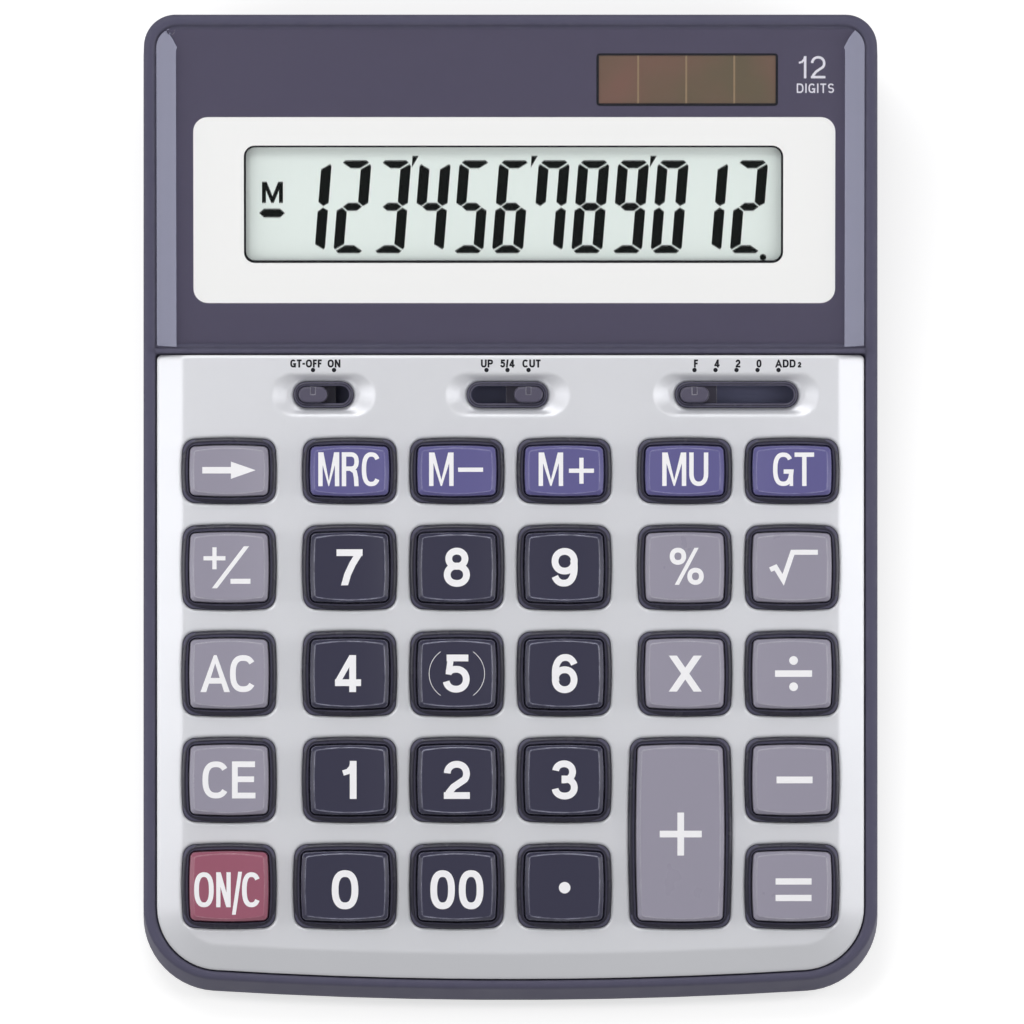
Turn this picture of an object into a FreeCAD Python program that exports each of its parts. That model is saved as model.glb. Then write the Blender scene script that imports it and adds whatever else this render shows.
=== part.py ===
import FreeCAD, Part
import math
import os

V = FreeCAD.Vector

# A desktop calculator: a wedge-shaped two-part case with a sloping keyboard deck, a steeper
# display panel behind it, 29 moulded keys over a rubber dome sheet, three slide switches,
# a liquid-crystal panel, a solar cell and one AA cell behind a sliding door underneath.
# World frame: +X to the right, +Y to the display end, +Z up, table at z = 0.
# Deck frame: u along X, v up the keyboard slope from the plate's front edge, n square to it.
# Display frame: u along X, w up the display slope from the divider, m square to it.

# Case
case_width = 147.0
case_length = 194.5
deck_slope = 6.0
display_tilt = 10.0
deck_front_height = 12.5
foot_height = 1.5
parting_depth = 6.5
wall = 2.2
base_floor = 1.8
deck_floor = 1.8
display_floor = 2.2
front_lip = 4.3
front_rim = 1.8
rear_rim = 2.0
side_lean = 0.5
back_lean = 0.6
lower_draft = 4.0
front_arc_radius = 960.0
front_corner_radius = 15.0
rear_corner_radius = 6.3
rim_round = 0.8
base_round = 1.4

# Face plate and display window
side_rim = 2.8
reveal = 0.35
lens_swing = 0.25
seat_gap = 0.2
plate_rise = 1.6
plate_edge_rise = 0.1
plate_thickness = 1.2
plate_bevel = 5.0
plate_corner_radius = 12.6
sharp_corner = 1.0
divider_width = 1.0
divider_rise = 1.4
lens_bevel = 3.9
lens_thickness = 2.0
lens_corner_radius = 4.2
mask_thickness = 0.2
mask_inset = 0.5

# Keys
display_run = 68.85
column_gap = 2.65
group_gap = 2.65
row_gap = 4.25
front_key_margin = 10.1
side_key_margin = 0.025
function_key_height = 13.1
wide_key_extra = 1.8
side_bow = 0.45
key_corner = 2.5
least_corner = 0.5
collar_width = 1.15
collar_rise = 0.7
key_gap = 0.25
key_rise = 3.1
key_shoulder_drop = 0.7
key_band = 0.75
key_lean = 0.15
key_wall = 1.1
key_roof = 1.3
key_edge_round = 0.18
dish_depth = 0.3
dish_margin = 0.4
key_flange = 0.8
key_flange_reach = 0.85
key_post_radius = 2.0
key_travel = 1.8
plate_hole_gap = 0.12
rest_gap = 0.15

# Rubber dome sheet and circuit board
sheet_thickness = 1.0
sheet_margin = 1.2
dome_radius = 3.7
dome_top_radius = 2.5
dome_pad = 0.4
dome_wall = 0.7
board_thickness = 1.6
board_margin = 3.6
board_front_margin = 9.0
board_corner = 2.0

# Parts under the circuit board
blob_radius = 6.5
blob_height = 1.9
capacitor_x = (28.0, 36.0)
capacitor_offset = 5.65
capacitor_radius = 2.5
capacitor_height = 5.4
resonator_x = -18.0
resonator_size = (7.0, 3.2, 3.0)
resistor_offset = -6.35
resistor_count = 6
resistor_pitch = 4.2
resistor_size = (2.0, 1.2, 0.6)
diode_x = -34.0
diode_offset = 15.65
diode_pitch = 4.0
diode_count = 2
diode_radius = 0.9
diode_length = 3.8

# Slide switches
function_to_switch = 8.7
switch_to_divider = 8.75
switch_step = 4.2
knob_length = 5.8
knob_width = 3.2
knob_gap = 0.15
slot_rim = 0.8
slot_collar_rise = 0.3
knob_rise = 1.2
knob_round = 0.4
knob_flange = 1.0
knob_flange_width = 6.2
knob_flange_reach = 1.6
knob_mark_width = 1.0
knob_mark_depth = 0.3
dish_end = 4.4
dish_side = 1.6
dish_end_slope = 3.0
dish_side_slope = 1.2
dish_sink = 0.85
wiper_thickness = 0.25
wiper_foot = 1.3
gt_switch_offset = -5.225
round_switch_offset = -0.6
decimal_switch_offset = -0.35

# Display
lcd_side_margin = 16.8
lcd_window_height = 23.8
lcd_window_centre = 29.65
lcd_window_shift = 0.6
window_corner = 2.2
window_lap = 0.8
glass_lap = 2.5
glass_thickness = 1.0
glass_ledge = 2.6
glass_gap = 0.1
holder_thickness = 2.0
holder_margin = 1.6
holder_ear = 3.4
holder_bar = 5.0
holder_boss_radius = 2.2
ribbon_width = 62.0
ribbon_thickness = 0.15
ribbon_overhang = 3.4
ribbon_turn = 4.8
solar_width = 36.3
solar_height = 10.7
solar_side_margin = 17.25
solar_centre = 54.9
solar_lap = 1.2
solar_thickness = 1.1
solar_pocket_gap = 0.15
solar_pocket_corner = 0.3
solar_lead_offsets = (6.0, 9.0)

# Battery bay
cell_radius = 7.25
cell_length = 50.0
cell_tip_radius = 2.75
cell_tip_length = 1.3
cell_gap = 0.5
cell_round = 0.6
bay_wall = 1.6
bay_inset = 21.25
spring_length = 4.6
spring_wire = 0.3
spring_turns = 4
spring_small_radius = 2.6
spring_large_radius = 4.4
contact_thickness = 0.4
contact_width = 11.0
contact_height = 12.0
tail_width = 3.0
door_thickness = 1.0
door_tongue = 1.0
door_tongue_reach = 1.5
door_gap = 0.2
door_lap = 0.5
door_overhang = 1.6
rail_height = 1.6
rail_width = 2.4
door_rib_count = 5
door_rib_pitch = 2.2
door_rib_length = 14.0
door_rib_depth = 0.4
door_rib_width = 1.0
door_rib_inset = 4.0

# Fasteners, feet and wires
screw_radius = 1.25
screw_head_radius = 2.4
screw_head_height = 1.6
screw_gap = 0.06
cross_width = 0.6
cross_depth = 0.8
cross_reach = 0.65
screw_clearance = 0.3
case_boss_radius = 3.0
seat_boss_radius = 4.0
front_screw_side = 13.5
front_screw_v = 5.0
middle_screw_side = 11.0
middle_screw_offset = 2.35
rear_screw_side = 11.5
rear_screw_inset = 11.0
front_screw_grip = 2.8
front_screw_bite = 2.8
screw_grip = 5.0
screw_bite = 6.5
boss_step = 0.4
middle_boss_drop = 5.0
rear_boss_drop = 17.0
board_screw_radius = 0.9
board_screw_head = 1.7
board_screw_head_height = 1.1
board_screw_bite = 1.8
board_boss_radius = 1.9
foot_radius = 5.0
foot_seat = 0.8
foot_round = 0.5
foot_gap = 0.1
foot_side = 16.5
front_foot_inset = 21.25
rear_foot_inset = 27.25
wire_radius = 0.6
solar_lane_inset = 1.5
solar_lane_pitch = 1.7
solar_lead_drop = 4.5
battery_lead_x = 20.0
battery_lead_inset = 6.0
tail_rise = 2.2

# Widths and lengths that follow the case
half_width = case_width / 2
half_length = case_length / 2
plate_half_width = half_width - side_rim
divider = case_length - display_run
key_columns_width = 2 * (plate_half_width - plate_bevel - side_key_margin)
column_pitch = (key_columns_width + column_gap - 2 * group_gap) / 6
key_width = column_pitch - column_gap
switch_row = divider - switch_to_divider
function_row = switch_row - function_to_switch - function_key_height / 2
key_rows_length = function_row - function_key_height / 2 - front_key_margin
key_height = key_rows_length / 4 - row_gap
row_pitch = key_height + row_gap
lcd_window_width = 2 * (plate_half_width - lcd_side_margin)
solar_centre_x = plate_half_width - solar_side_margin - solar_width / 2
solar_lane_x = plate_half_width - solar_lane_inset
bay_centre_y = half_length - bay_inset

# Levels in the deck frame and the display frame
deck_floor_top = plate_edge_rise - plate_thickness - seat_gap
deck_floor_bottom = deck_floor_top - deck_floor
collar_top = plate_rise + collar_rise
key_top = collar_top + key_rise
flange_top = deck_floor_bottom - rest_gap
flange_bottom = flange_top - key_flange
board_top = flange_bottom - key_travel - rest_gap - sheet_thickness
board_bottom = board_top - board_thickness
sheet_top = board_top + sheet_thickness
dome_top = flange_top - rest_gap
slot_collar_top = plate_rise + slot_collar_rise
lens_bottom = plate_rise - lens_thickness
display_floor_top = lens_bottom - mask_thickness
display_floor_bottom = display_floor_top - display_floor
glass_top = display_floor_bottom - glass_gap
glass_middle = glass_top - glass_thickness
glass_bottom = glass_middle - glass_thickness
holder_top = glass_bottom - glass_gap
holder_bottom = holder_top - holder_thickness
parting = -parting_depth

# Places along the deck
columns = [
    -column_pitch * 2.5 - group_gap,
    -column_pitch * 1.5,
    -column_pitch * 0.5,
    column_pitch * 0.5,
    column_pitch * 1.5 + group_gap,
    column_pitch * 2.5 + group_gap,
]
rows = [front_key_margin + key_height / 2 + row_pitch * i for i in range(4)]
plate_rear = divider - divider_width / 2 - reveal
lens_front = divider_width / 2 + reveal + lens_swing
board_rear = divider - board_margin
sheet_front = rows[0] - key_height / 2 - sheet_margin
sheet_rear = function_row + function_key_height / 2 + sheet_margin
board_screw_x = [
    (columns[0] + columns[1] - wide_key_extra) / 2,
    (columns[3] + columns[4] - wide_key_extra) / 2,
]
board_screw_v = [
    (rows[0] + rows[1]) / 2,
    (rows[2] + rows[3]) / 2,
    sheet_rear + board_boss_radius + boss_step,
]

# Frames
cos_deck = math.cos(math.radians(deck_slope))
sin_deck = math.sin(math.radians(deck_slope))
cos_tilt = math.cos(math.radians(display_tilt))
sin_tilt = math.sin(math.radians(display_tilt))
front_y = -front_lip * cos_deck - parting * sin_deck
rear_y = front_y + case_length
deck_origin = V(0, -(front_y + rear_y) / 2, deck_front_height)
x_axis = V(1, 0, 0)
deck_frame = FreeCAD.Placement(deck_origin, FreeCAD.Rotation(x_axis, deck_slope))
display_in_deck = FreeCAD.Placement(V(0, divider, 0), FreeCAD.Rotation(x_axis, display_tilt))
display_frame = deck_frame.multiply(display_in_deck)

# Reach of the construction solids past every face that they cut, and overlap of joined ones
root = 0.4
weld = 0.2
far = 400.0
section_top = 24.0
section_low = -36.0
rear_at_rim = (rear_y - back_lean) / cos_deck
display_length = (rear_at_rim - divider) / (cos_tilt - sin_tilt * sin_deck / cos_deck)
lens_rear = display_length - rear_rim - reveal


def world_from_deck(u, v, n):
    return deck_frame.multVec(V(u, v, n))


def world_from_display(u, w, m):
    return display_frame.multVec(V(u, w, m))


def placed(shape, frame):
    copy = shape.copy()
    copy.Placement = frame.multiply(copy.Placement)
    return copy


def block(x0, x1, y0, y1, z0, z1):
    return Part.makeBox(x1 - x0, y1 - y0, z1 - z0, V(x0, y0, z0))


def rod(centre, radius, z0, z1):
    return Part.makeCylinder(radius, z1 - z0, V(centre[0], centre[1], z0))


def outline(half, front, rear, arc_radius, front_corner, rear_corner, height):
    """The case's plan shape: straight sides, a bowed front and four round corners."""
    arc_y = front + arc_radius
    corner_x = half - front_corner
    corner_y = arc_y - math.sqrt((arc_radius - front_corner) ** 2 - corner_x ** 2)
    swing = math.atan2(corner_x, arc_y - corner_y)
    meet_x = arc_radius * math.sin(swing)
    meet_y = arc_y - arc_radius * math.cos(swing)
    mid = (math.pi / 2 + swing) / 2
    mid_x = corner_x + front_corner * math.sin(mid)
    mid_y = corner_y - front_corner * math.cos(mid)
    back = rear - rear_corner
    bend = rear_corner * math.sqrt(0.5)
    side = half - rear_corner

    def at(x, y):
        return V(x, y, height)

    edges = [
        Part.Arc(at(-meet_x, meet_y), at(0, front), at(meet_x, meet_y)).toShape(),
        Part.Arc(at(meet_x, meet_y), at(mid_x, mid_y), at(half, corner_y)).toShape(),
        Part.makeLine(at(half, corner_y), at(half, back)),
        Part.Arc(at(half, back), at(side + bend, back + bend), at(side, rear)).toShape(),
        Part.makeLine(at(side, rear), at(-side, rear)),
        Part.Arc(at(-side, rear), at(-side - bend, back + bend), at(-half, back)).toShape(),
        Part.makeLine(at(-half, back), at(-half, corner_y)),
        Part.Arc(at(-half, corner_y), at(-mid_x, mid_y), at(-meet_x, meet_y)).toShape(),
    ]
    return Part.Wire(edges)


def ruled(lower, upper):
    return Part.makeLoft([lower, upper], True, True)


def upper_outline(height, inset):
    """The upper case's section at a height above the deck, moved in by an inset."""
    share = (height - parting) / (section_top - parting)
    half = half_width - side_lean * share - inset
    front = -front_rim - (front_lip - front_rim) * height / parting + inset
    rear = (rear_y - back_lean * share + height * sin_deck) / cos_deck - inset
    return outline(
        half, front, rear, front_arc_radius - inset,
        front_corner_radius - inset, rear_corner_radius - inset, height,
    )


def lower_outline(height, inset):
    """The lower case's section at a depth below the parting line, drawn in by its draft."""
    drawn = (parting - height) * math.tan(math.radians(lower_draft)) + inset
    half = half_width - drawn
    rear = (rear_y + height * sin_deck) / cos_deck - drawn
    return outline(
        half, -front_lip + drawn, rear, front_arc_radius - drawn,
        front_corner_radius - drawn, rear_corner_radius - inset, height,
    )


def plate_outline(inset, height):
    """The recess in the deck's plan, moved in by an inset on its front and sides."""
    return outline(
        plate_half_width - inset, inset, plate_rear, front_arc_radius,
        plate_corner_radius - inset, sharp_corner, height,
    )


def rounded(width, length, corner, centre, height):
    """A rectangle with round corners, in the plane of the frame it is used in."""
    x0, x1 = centre[0] - width / 2, centre[0] + width / 2
    y0, y1 = centre[1] - length / 2, centre[1] + length / 2
    edges = []
    bend = corner * (1 - math.sqrt(0.5))
    spots = [
        (V(x1 - corner, y0, height), V(x1 - bend, y0 + bend, height), V(x1, y0 + corner, height)),
        (V(x1, y1 - corner, height), V(x1 - bend, y1 - bend, height), V(x1 - corner, y1, height)),
        (V(x0 + corner, y1, height), V(x0 + bend, y1 - bend, height), V(x0, y1 - corner, height)),
        (V(x0, y0 + corner, height), V(x0 + bend, y0 + bend, height), V(x0 + corner, y0, height)),
    ]
    last = spots[-1][2]
    for start, middle, end in spots:
        if last.distanceToPoint(start) > 1e-6:
            edges.append(Part.makeLine(last, start))
        edges.append(Part.Arc(start, middle, end).toShape())
        last = end
    return Part.Wire(edges)


def upright(wire, height):
    return Part.Face(wire).extrude(V(0, 0, height))


def stadium(length, width, centre, height):
    return rounded(length, width, width / 2 - 1e-4, centre, height)


def pillow(width, length, inset, height):
    """A key's outline: a rectangle whose four sides bow outwards, with round corners."""
    half_w, half_l = width / 2, length / 2
    end_radius = (half_w ** 2 + side_bow ** 2) / (2 * side_bow)
    side_radius = (half_l ** 2 + side_bow ** 2) / (2 * side_bow)
    end_y, side_x = half_l - end_radius, half_w - side_radius
    span = math.hypot(side_x, end_y)
    unit_x, unit_y = side_x / span, -end_y / span
    corner = max(key_corner - inset, least_corner)
    reach_end, reach_side = end_radius - inset - corner, side_radius - inset - corner
    along = (reach_end ** 2 - reach_side ** 2 + span ** 2) / (2 * span)
    off = math.sqrt(reach_end ** 2 - along ** 2)
    corner_x = along * unit_x + off * unit_y
    corner_y = end_y + along * unit_y - off * unit_x
    if corner_x < 0:
        corner_x = along * unit_x - off * unit_y
        corner_y = end_y + along * unit_y + off * unit_x
    end_angle = math.atan2(corner_x, corner_y - end_y)
    side_angle = math.atan2(corner_y, corner_x - side_x)
    end_x = corner_x + corner * math.sin(end_angle)
    end_top = corner_y + corner * math.cos(end_angle)
    side_right = corner_x + corner * math.cos(side_angle)
    side_top = corner_y + corner * math.sin(side_angle)
    middle = (math.pi / 2 - end_angle + side_angle) / 2
    mid_x = corner_x + corner * math.cos(middle)
    mid_y = corner_y + corner * math.sin(middle)
    quarter = [(side_right, side_top), (mid_x, mid_y), (end_x, end_top), (0, half_l - inset)]
    spots = list(quarter)
    spots += [(-x, y) for x, y in reversed(quarter[:3])]
    spots += [(-half_w + inset, 0)]
    spots += [(-x, -y) for x, y in quarter]
    spots += [(x, -y) for x, y in reversed(quarter[:3])]
    spots += [(half_w - inset, 0), quarter[0]]
    points = [V(x, y, height) for x, y in spots]
    edges = [Part.Arc(*points[i:i + 3]).toShape() for i in range(0, len(points) - 2, 2)]
    return Part.Wire(edges)


def pillow_block(size, inset, z0, z1):
    return upright(pillow(size[0], size[1], inset, z0), z1 - z0)


def pillow_taper(size, inset0, z0, inset1, z1):
    return ruled(pillow(size[0], size[1], inset0, z0), pillow(size[0], size[1], inset1, z1))


def side_prism(points):
    """A solid across the whole width with the given outline, as (v, n) points."""
    wire = Part.makePolygon([V(-far, v, n) for v, n in points + points[:1]])
    return Part.Face(wire).extrude(V(2 * far, 0, 0))


def display_line(level, v):
    """How high the display frame's level m stands above the deck at a place v."""
    return (v - divider) * sin_tilt / cos_tilt + level / cos_tilt


def knee(deck_level, display_level):
    """Where a level of the deck meets a level of the display, as v."""
    return divider + (deck_level * cos_tilt - display_level) / sin_tilt


def arc_between(start, control, end):
    """The arc that leaves start towards control and arrives at end from it."""
    chord_middle = (start + end) * 0.5
    turn = (control - start).getAngle(end - start)
    share = math.tan(turn / 2) / math.tan(turn)
    return Part.Arc(start, chord_middle + (control - chord_middle) * share, end).toShape()


def bent_path(points):
    """Straight runs joined by tangent arcs, each as large as its two runs allow."""
    edges = []
    radii = []
    last = points[0]
    for before, corner, after in zip(points, points[1:], points[2:]):
        into, out = corner - before, after - corner
        reach = 0.45 * min(into.Length, out.Length)
        radii.append(round(reach / math.tan(into.getAngle(out) / 2), 2))
        start = corner - into.normalize() * reach
        end = corner + out.normalize() * reach
        edges.append(Part.makeLine(last, start))
        edges.append(arc_between(start, corner, end))
        last = end
    edges.append(Part.makeLine(last, points[-1]))
    print("bend radii", radii)
    return Part.Wire(edges)


def tube(points, radius):
    """A round lead along a bent path."""
    profile = Part.Wire([Part.makeCircle(radius, points[0], points[1] - points[0])])
    return bent_path(points).makePipeShell([profile], True, False)


def key_plan():
    """Every key by name: its centre on the deck and its collar's outside size."""
    digits = [
        ["key_on_clear", "key_zero", "key_double_zero", "key_decimal_point", None, "key_equals"],
        ["key_clear_entry", "key_one", "key_two", "key_three", None, "key_minus"],
        ["key_all_clear", "key_four", "key_five", "key_six", "key_multiply", "key_divide"],
        ["key_sign_change", "key_seven", "key_eight", "key_nine", "key_percent", "key_square_root"],
    ]
    functions = [
        "key_backspace", "key_memory_recall", "key_memory_minus",
        "key_memory_plus", "key_mark_up", "key_grand_total",
    ]
    plan = {}
    for row, names in zip(rows, digits):
        for column, name in zip(columns, names):
            if name:
                plan[name] = (column, row, (key_width, key_height))
    for column, name in zip(columns, functions):
        plan[name] = (column, function_row, (key_width, function_key_height))
    wide = key_width + wide_key_extra
    shift = wide_key_extra / 2
    plan["key_zero"] = (columns[1] - shift, rows[0], (wide, key_height))
    tall = (wide, key_height + row_pitch)
    plan["key_plus"] = (columns[4] - shift, (rows[0] + rows[1]) / 2, tall)
    return plan


def switch_plan():
    """Every slide switch by name: slot centre, travel, and the side its knob rests on."""
    return {
        "grand_total_switch": (columns[1] + gt_switch_offset, switch_step, -1),
        "rounding_switch": (round_switch_offset, 2 * switch_step, 1),
        "decimal_switch": (
            (columns[4] + columns[5]) / 2 + decimal_switch_offset, 4 * switch_step, -1,
        ),
    }


def slot_size(travel):
    return knob_length + travel + 2 * knob_gap, knob_width + 2 * knob_gap


def knob_rest(centre, travel, side):
    return centre + side * travel / 2


def screw_plan():
    """The case screws, upright in the world: x, y, seat, top of the lower boss, and tip."""
    rear = world_from_display(0, lens_rear, 0).y - rear_screw_inset
    front = world_from_deck(0, front_screw_v, parting)
    middle = world_from_deck(0, divider + middle_screw_offset, parting)
    spots = [
        (front_screw_side, front.y, front.z - boss_step, front_screw_grip, front_screw_bite),
        (middle_screw_side, middle.y, middle.z - middle_boss_drop, screw_grip, screw_bite),
        (rear_screw_side, rear, world_from_display(0, lens_rear, parting).z - rear_boss_drop,
         screw_grip, screw_bite),
    ]
    return [
        (side * (half_width - inset), y, meet - grip, meet, meet + bite)
        for inset, y, meet, grip, bite in spots
        for side in (-1, 1)
    ]


def battery_plan():
    """The bay's half length and the x of the cell's flat end, from the pieces in line."""
    half = (cell_length + cell_tip_length + spring_length) / 2 + contact_thickness + rest_gap
    flat_end = -half + contact_thickness + spring_length + rest_gap
    return half, flat_end


door_bottom = foot_height
tongue_bottom = door_bottom + door_thickness
tongue_top = tongue_bottom + door_tongue
channel_top = tongue_top + rest_gap
bay_half, cell_start = battery_plan()
bay_half_y = cell_radius + cell_gap
cell_z = channel_top + cell_gap + cell_radius
bay_top = cell_z + bay_half_y
door_half = bay_half + bay_wall + door_lap
door_front_y = bay_centre_y - bay_half_y - door_overhang
channel_half = door_half + door_tongue_reach + door_gap
glass_width = lcd_window_width + 2 * (window_lap + glass_lap)
glass_height = lcd_window_height + 2 * (window_lap + glass_lap)
ear_x = glass_width / 2 + holder_margin + holder_ear / 2
ear_w = glass_height / 4
holder_screws = [
    (lcd_window_shift + sx * ear_x, lcd_window_centre + sw * ear_w)
    for sx in (-1, 1)
    for sw in (-1, 1)
]
solar_bottom = display_floor_top - rest_gap - solar_thickness
cell_half_x = solar_width / 2 + solar_lap
cell_half_w = solar_height / 2 + solar_lap


def upper_case():
    """The dark top shell: rim, deck floor with key and slot collars, divider, display floor."""
    body = ruled(upper_outline(parting, 0), upper_outline(section_top, 0))
    top = [(-far, parting), (-far, 0), (divider, 0), (far, display_line(0, far)), (far, parting)]
    body = body.common(side_prism(top))
    rim = [e for e in body.Edges if on_rim(e)]
    body = body.makeFillet(rim_round, rim)
    bend = knee(deck_floor_bottom, display_floor_bottom)
    below = [
        (-far, parting - 1), (-far, deck_floor_bottom), (bend, deck_floor_bottom),
        (far, display_line(display_floor_bottom, far)), (far, parting - 1),
    ]
    hollow = ruled(upper_outline(parting - 1, wall), upper_outline(section_top, wall))
    hollow = hollow.common(side_prism(below))
    recess = plate_recess()
    window_bed = placed(display_recess(), display_in_deck)
    body = body.cut(hollow).cut(recess).cut(window_bed)
    pocket = plate_half_width + reveal
    rib = block(
        -pocket, pocket, divider - divider_width / 2, divider + divider_width / 2,
        deck_floor_bottom, divider_rise,
    )
    collars = []
    holes = []
    for x, v, size in key_plan().values():
        spot = V(x, v, 0)
        collars.append(pillow_collar(size).translated(spot))
        hole = pillow_block(size, collar_width, deck_floor_bottom - 1, collar_top + 1)
        holes.append(hole.translated(spot))
    for centre, travel, _ in switch_plan().values():
        length, width = slot_size(travel)
        spot = (centre, switch_row)
        ring = stadium(length + 2 * slot_rim, width + 2 * slot_rim, spot, deck_floor_top - root)
        collars.append(upright(ring, slot_collar_top - deck_floor_top + root))
        slot = stadium(length, width, spot, deck_floor_bottom - 1)
        holes.append(upright(slot, slot_collar_top - deck_floor_bottom + 2))
    bosses = []
    for x in board_screw_x:
        for v in board_screw_v:
            bosses.append(rod((x, v), board_boss_radius, board_top, deck_floor_bottom + root))
            bore = rod((x, v), board_screw_radius + screw_gap, board_top - 1, deck_floor_bottom)
            holes.append(bore)
    for x, w in holder_screws:
        boss = rod((x, w), holder_boss_radius, holder_top, display_floor_bottom + root)
        bore = rod((x, w), board_screw_radius + screw_gap, holder_top - 1, display_floor_bottom)
        bosses.append(placed(boss, display_in_deck))
        holes.append(placed(bore, display_in_deck))
    body = body.multiFuse([rib] + collars + bosses)
    holes += [placed(hole, display_in_deck) for hole in display_windows()]
    body = body.cut(Part.makeCompound(holes))
    return placed(body, deck_frame), placed(under_floors(), deck_frame)


def on_rim(edge):
    """Whether an edge of the blank shell runs along the rim's outer top edge."""
    ends = [v.Point for v in edge.Vertexes]
    knee_line = all(abs(p.y - divider) < 0.01 for p in ends)
    return not knee_line and all(
        abs(p.z - max(0, display_line(0, p.y))) < 0.01 for p in ends
    )


def under_floors():
    """The room under the deck and display floors, taken half way into them."""
    deck_level = deck_floor_bottom + deck_floor / 2
    display_level = display_floor_bottom + display_floor / 2
    bend = knee(deck_level, display_level)
    points = [
        (-far, -far), (-far, deck_level), (bend, deck_level),
        (far, display_line(display_level, far)), (far, -far),
    ]
    return side_prism(points)


def pillow_collar(size):
    collar = pillow_block(size, 0, deck_floor_top - root, collar_top)
    crest = [e for e in collar.Edges if e.BoundBox.ZMin > collar_top - 0.01]
    return collar.makeFillet(collar_width * 0.45, crest)


def plate_recess():
    half, corner = plate_half_width + reveal, plate_corner_radius + reveal
    wire = outline(
        half, -reveal, divider - divider_width / 2, front_arc_radius,
        corner, sharp_corner, deck_floor_top,
    )
    return upright(wire, far / 10)


def display_recess():
    half = plate_half_width + reveal
    rear = lens_rear + reveal
    corner = lens_corner_radius + reveal
    wire = display_outline(half, divider_width / 2, rear, corner, display_floor_top)
    return upright(wire, far / 10)


def display_outline(half, front, rear, rear_corner, height):
    """The display window's plan: square front corners and round rear ones."""
    bend = rear_corner * math.sqrt(0.5)
    side, back = half - rear_corner, rear - rear_corner

    def at(x, y):
        return V(x, y, height)

    return Part.Wire([
        Part.makeLine(at(-half, front), at(half, front)),
        Part.makeLine(at(half, front), at(half, back)),
        Part.Arc(at(half, back), at(side + bend, back + bend), at(side, rear)).toShape(),
        Part.makeLine(at(side, rear), at(-side, rear)),
        Part.Arc(at(-side, rear), at(-side - bend, back + bend), at(-half, back)).toShape(),
        Part.makeLine(at(-half, back), at(-half, front)),
    ])


def window(width, length, corner, centre, z0, z1):
    return upright(rounded(width, length, corner, centre, z0), z1 - z0)


def display_windows():
    """What the display floor is cut by: the display's window, the cell's pocket, lead holes."""
    low = display_floor_bottom - 1
    lcd_centre = (lcd_window_shift, lcd_window_centre)
    solar_spot = (solar_centre_x, solar_centre)
    grow = 2 * window_lap
    view = window(
        lcd_window_width + grow, lcd_window_height + grow, window_corner,
        lcd_centre, low, display_floor_top + 1,
    )
    pocket = window(
        2 * (cell_half_x + solar_pocket_gap), 2 * (cell_half_w + solar_pocket_gap),
        solar_pocket_corner, solar_spot, solar_bottom - screw_gap, display_floor_top + 1,
    )
    leads = [
        rod(spot, wire_radius + screw_clearance, low, display_floor_top)
        for spot in solar_lead_spots()
    ]
    return [view, pocket] + leads


def solar_lead_spots():
    return [(solar_centre_x + offset, solar_centre) for offset in solar_lead_offsets]


def case_bosses(upper, room):
    """Adds the upper screw bosses, which stop in the floors above them."""
    posts = [
        rod((x, y), case_boss_radius, meet + rest_gap, half_length).common(room)
        for x, y, _, meet, _ in screw_plan()
    ]
    bores = [
        rod((x, y), screw_radius + screw_gap, meet - 1, tip + root)
        for x, y, _, meet, tip in screw_plan()
    ]
    return upper.multiFuse(posts).cut(Part.makeCompound(bores))


def rear_face(z):
    """Where the lower case's rear wall stands, as y, at a height above the table."""
    draft = math.tan(math.radians(lower_draft)) * cos_deck
    depth = parting - (z - deck_front_height) * cos_deck
    return (rear_y - draft * depth) / (1 + draft * sin_deck) + deck_origin.y


def lower_blank():
    """The lower case's outer form: drawn in downwards and cut flat underneath."""
    body = ruled(lower_outline(section_low, 0), lower_outline(parting, 0))
    body = placed(body, deck_frame)
    slab = block(-far, far, -far, far, foot_height, far)
    body = body.common(slab)
    base = [e for e in body.Edges if e.BoundBox.ZMax < foot_height + 0.01]
    return body.makeFillet(base_round, base)


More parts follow.
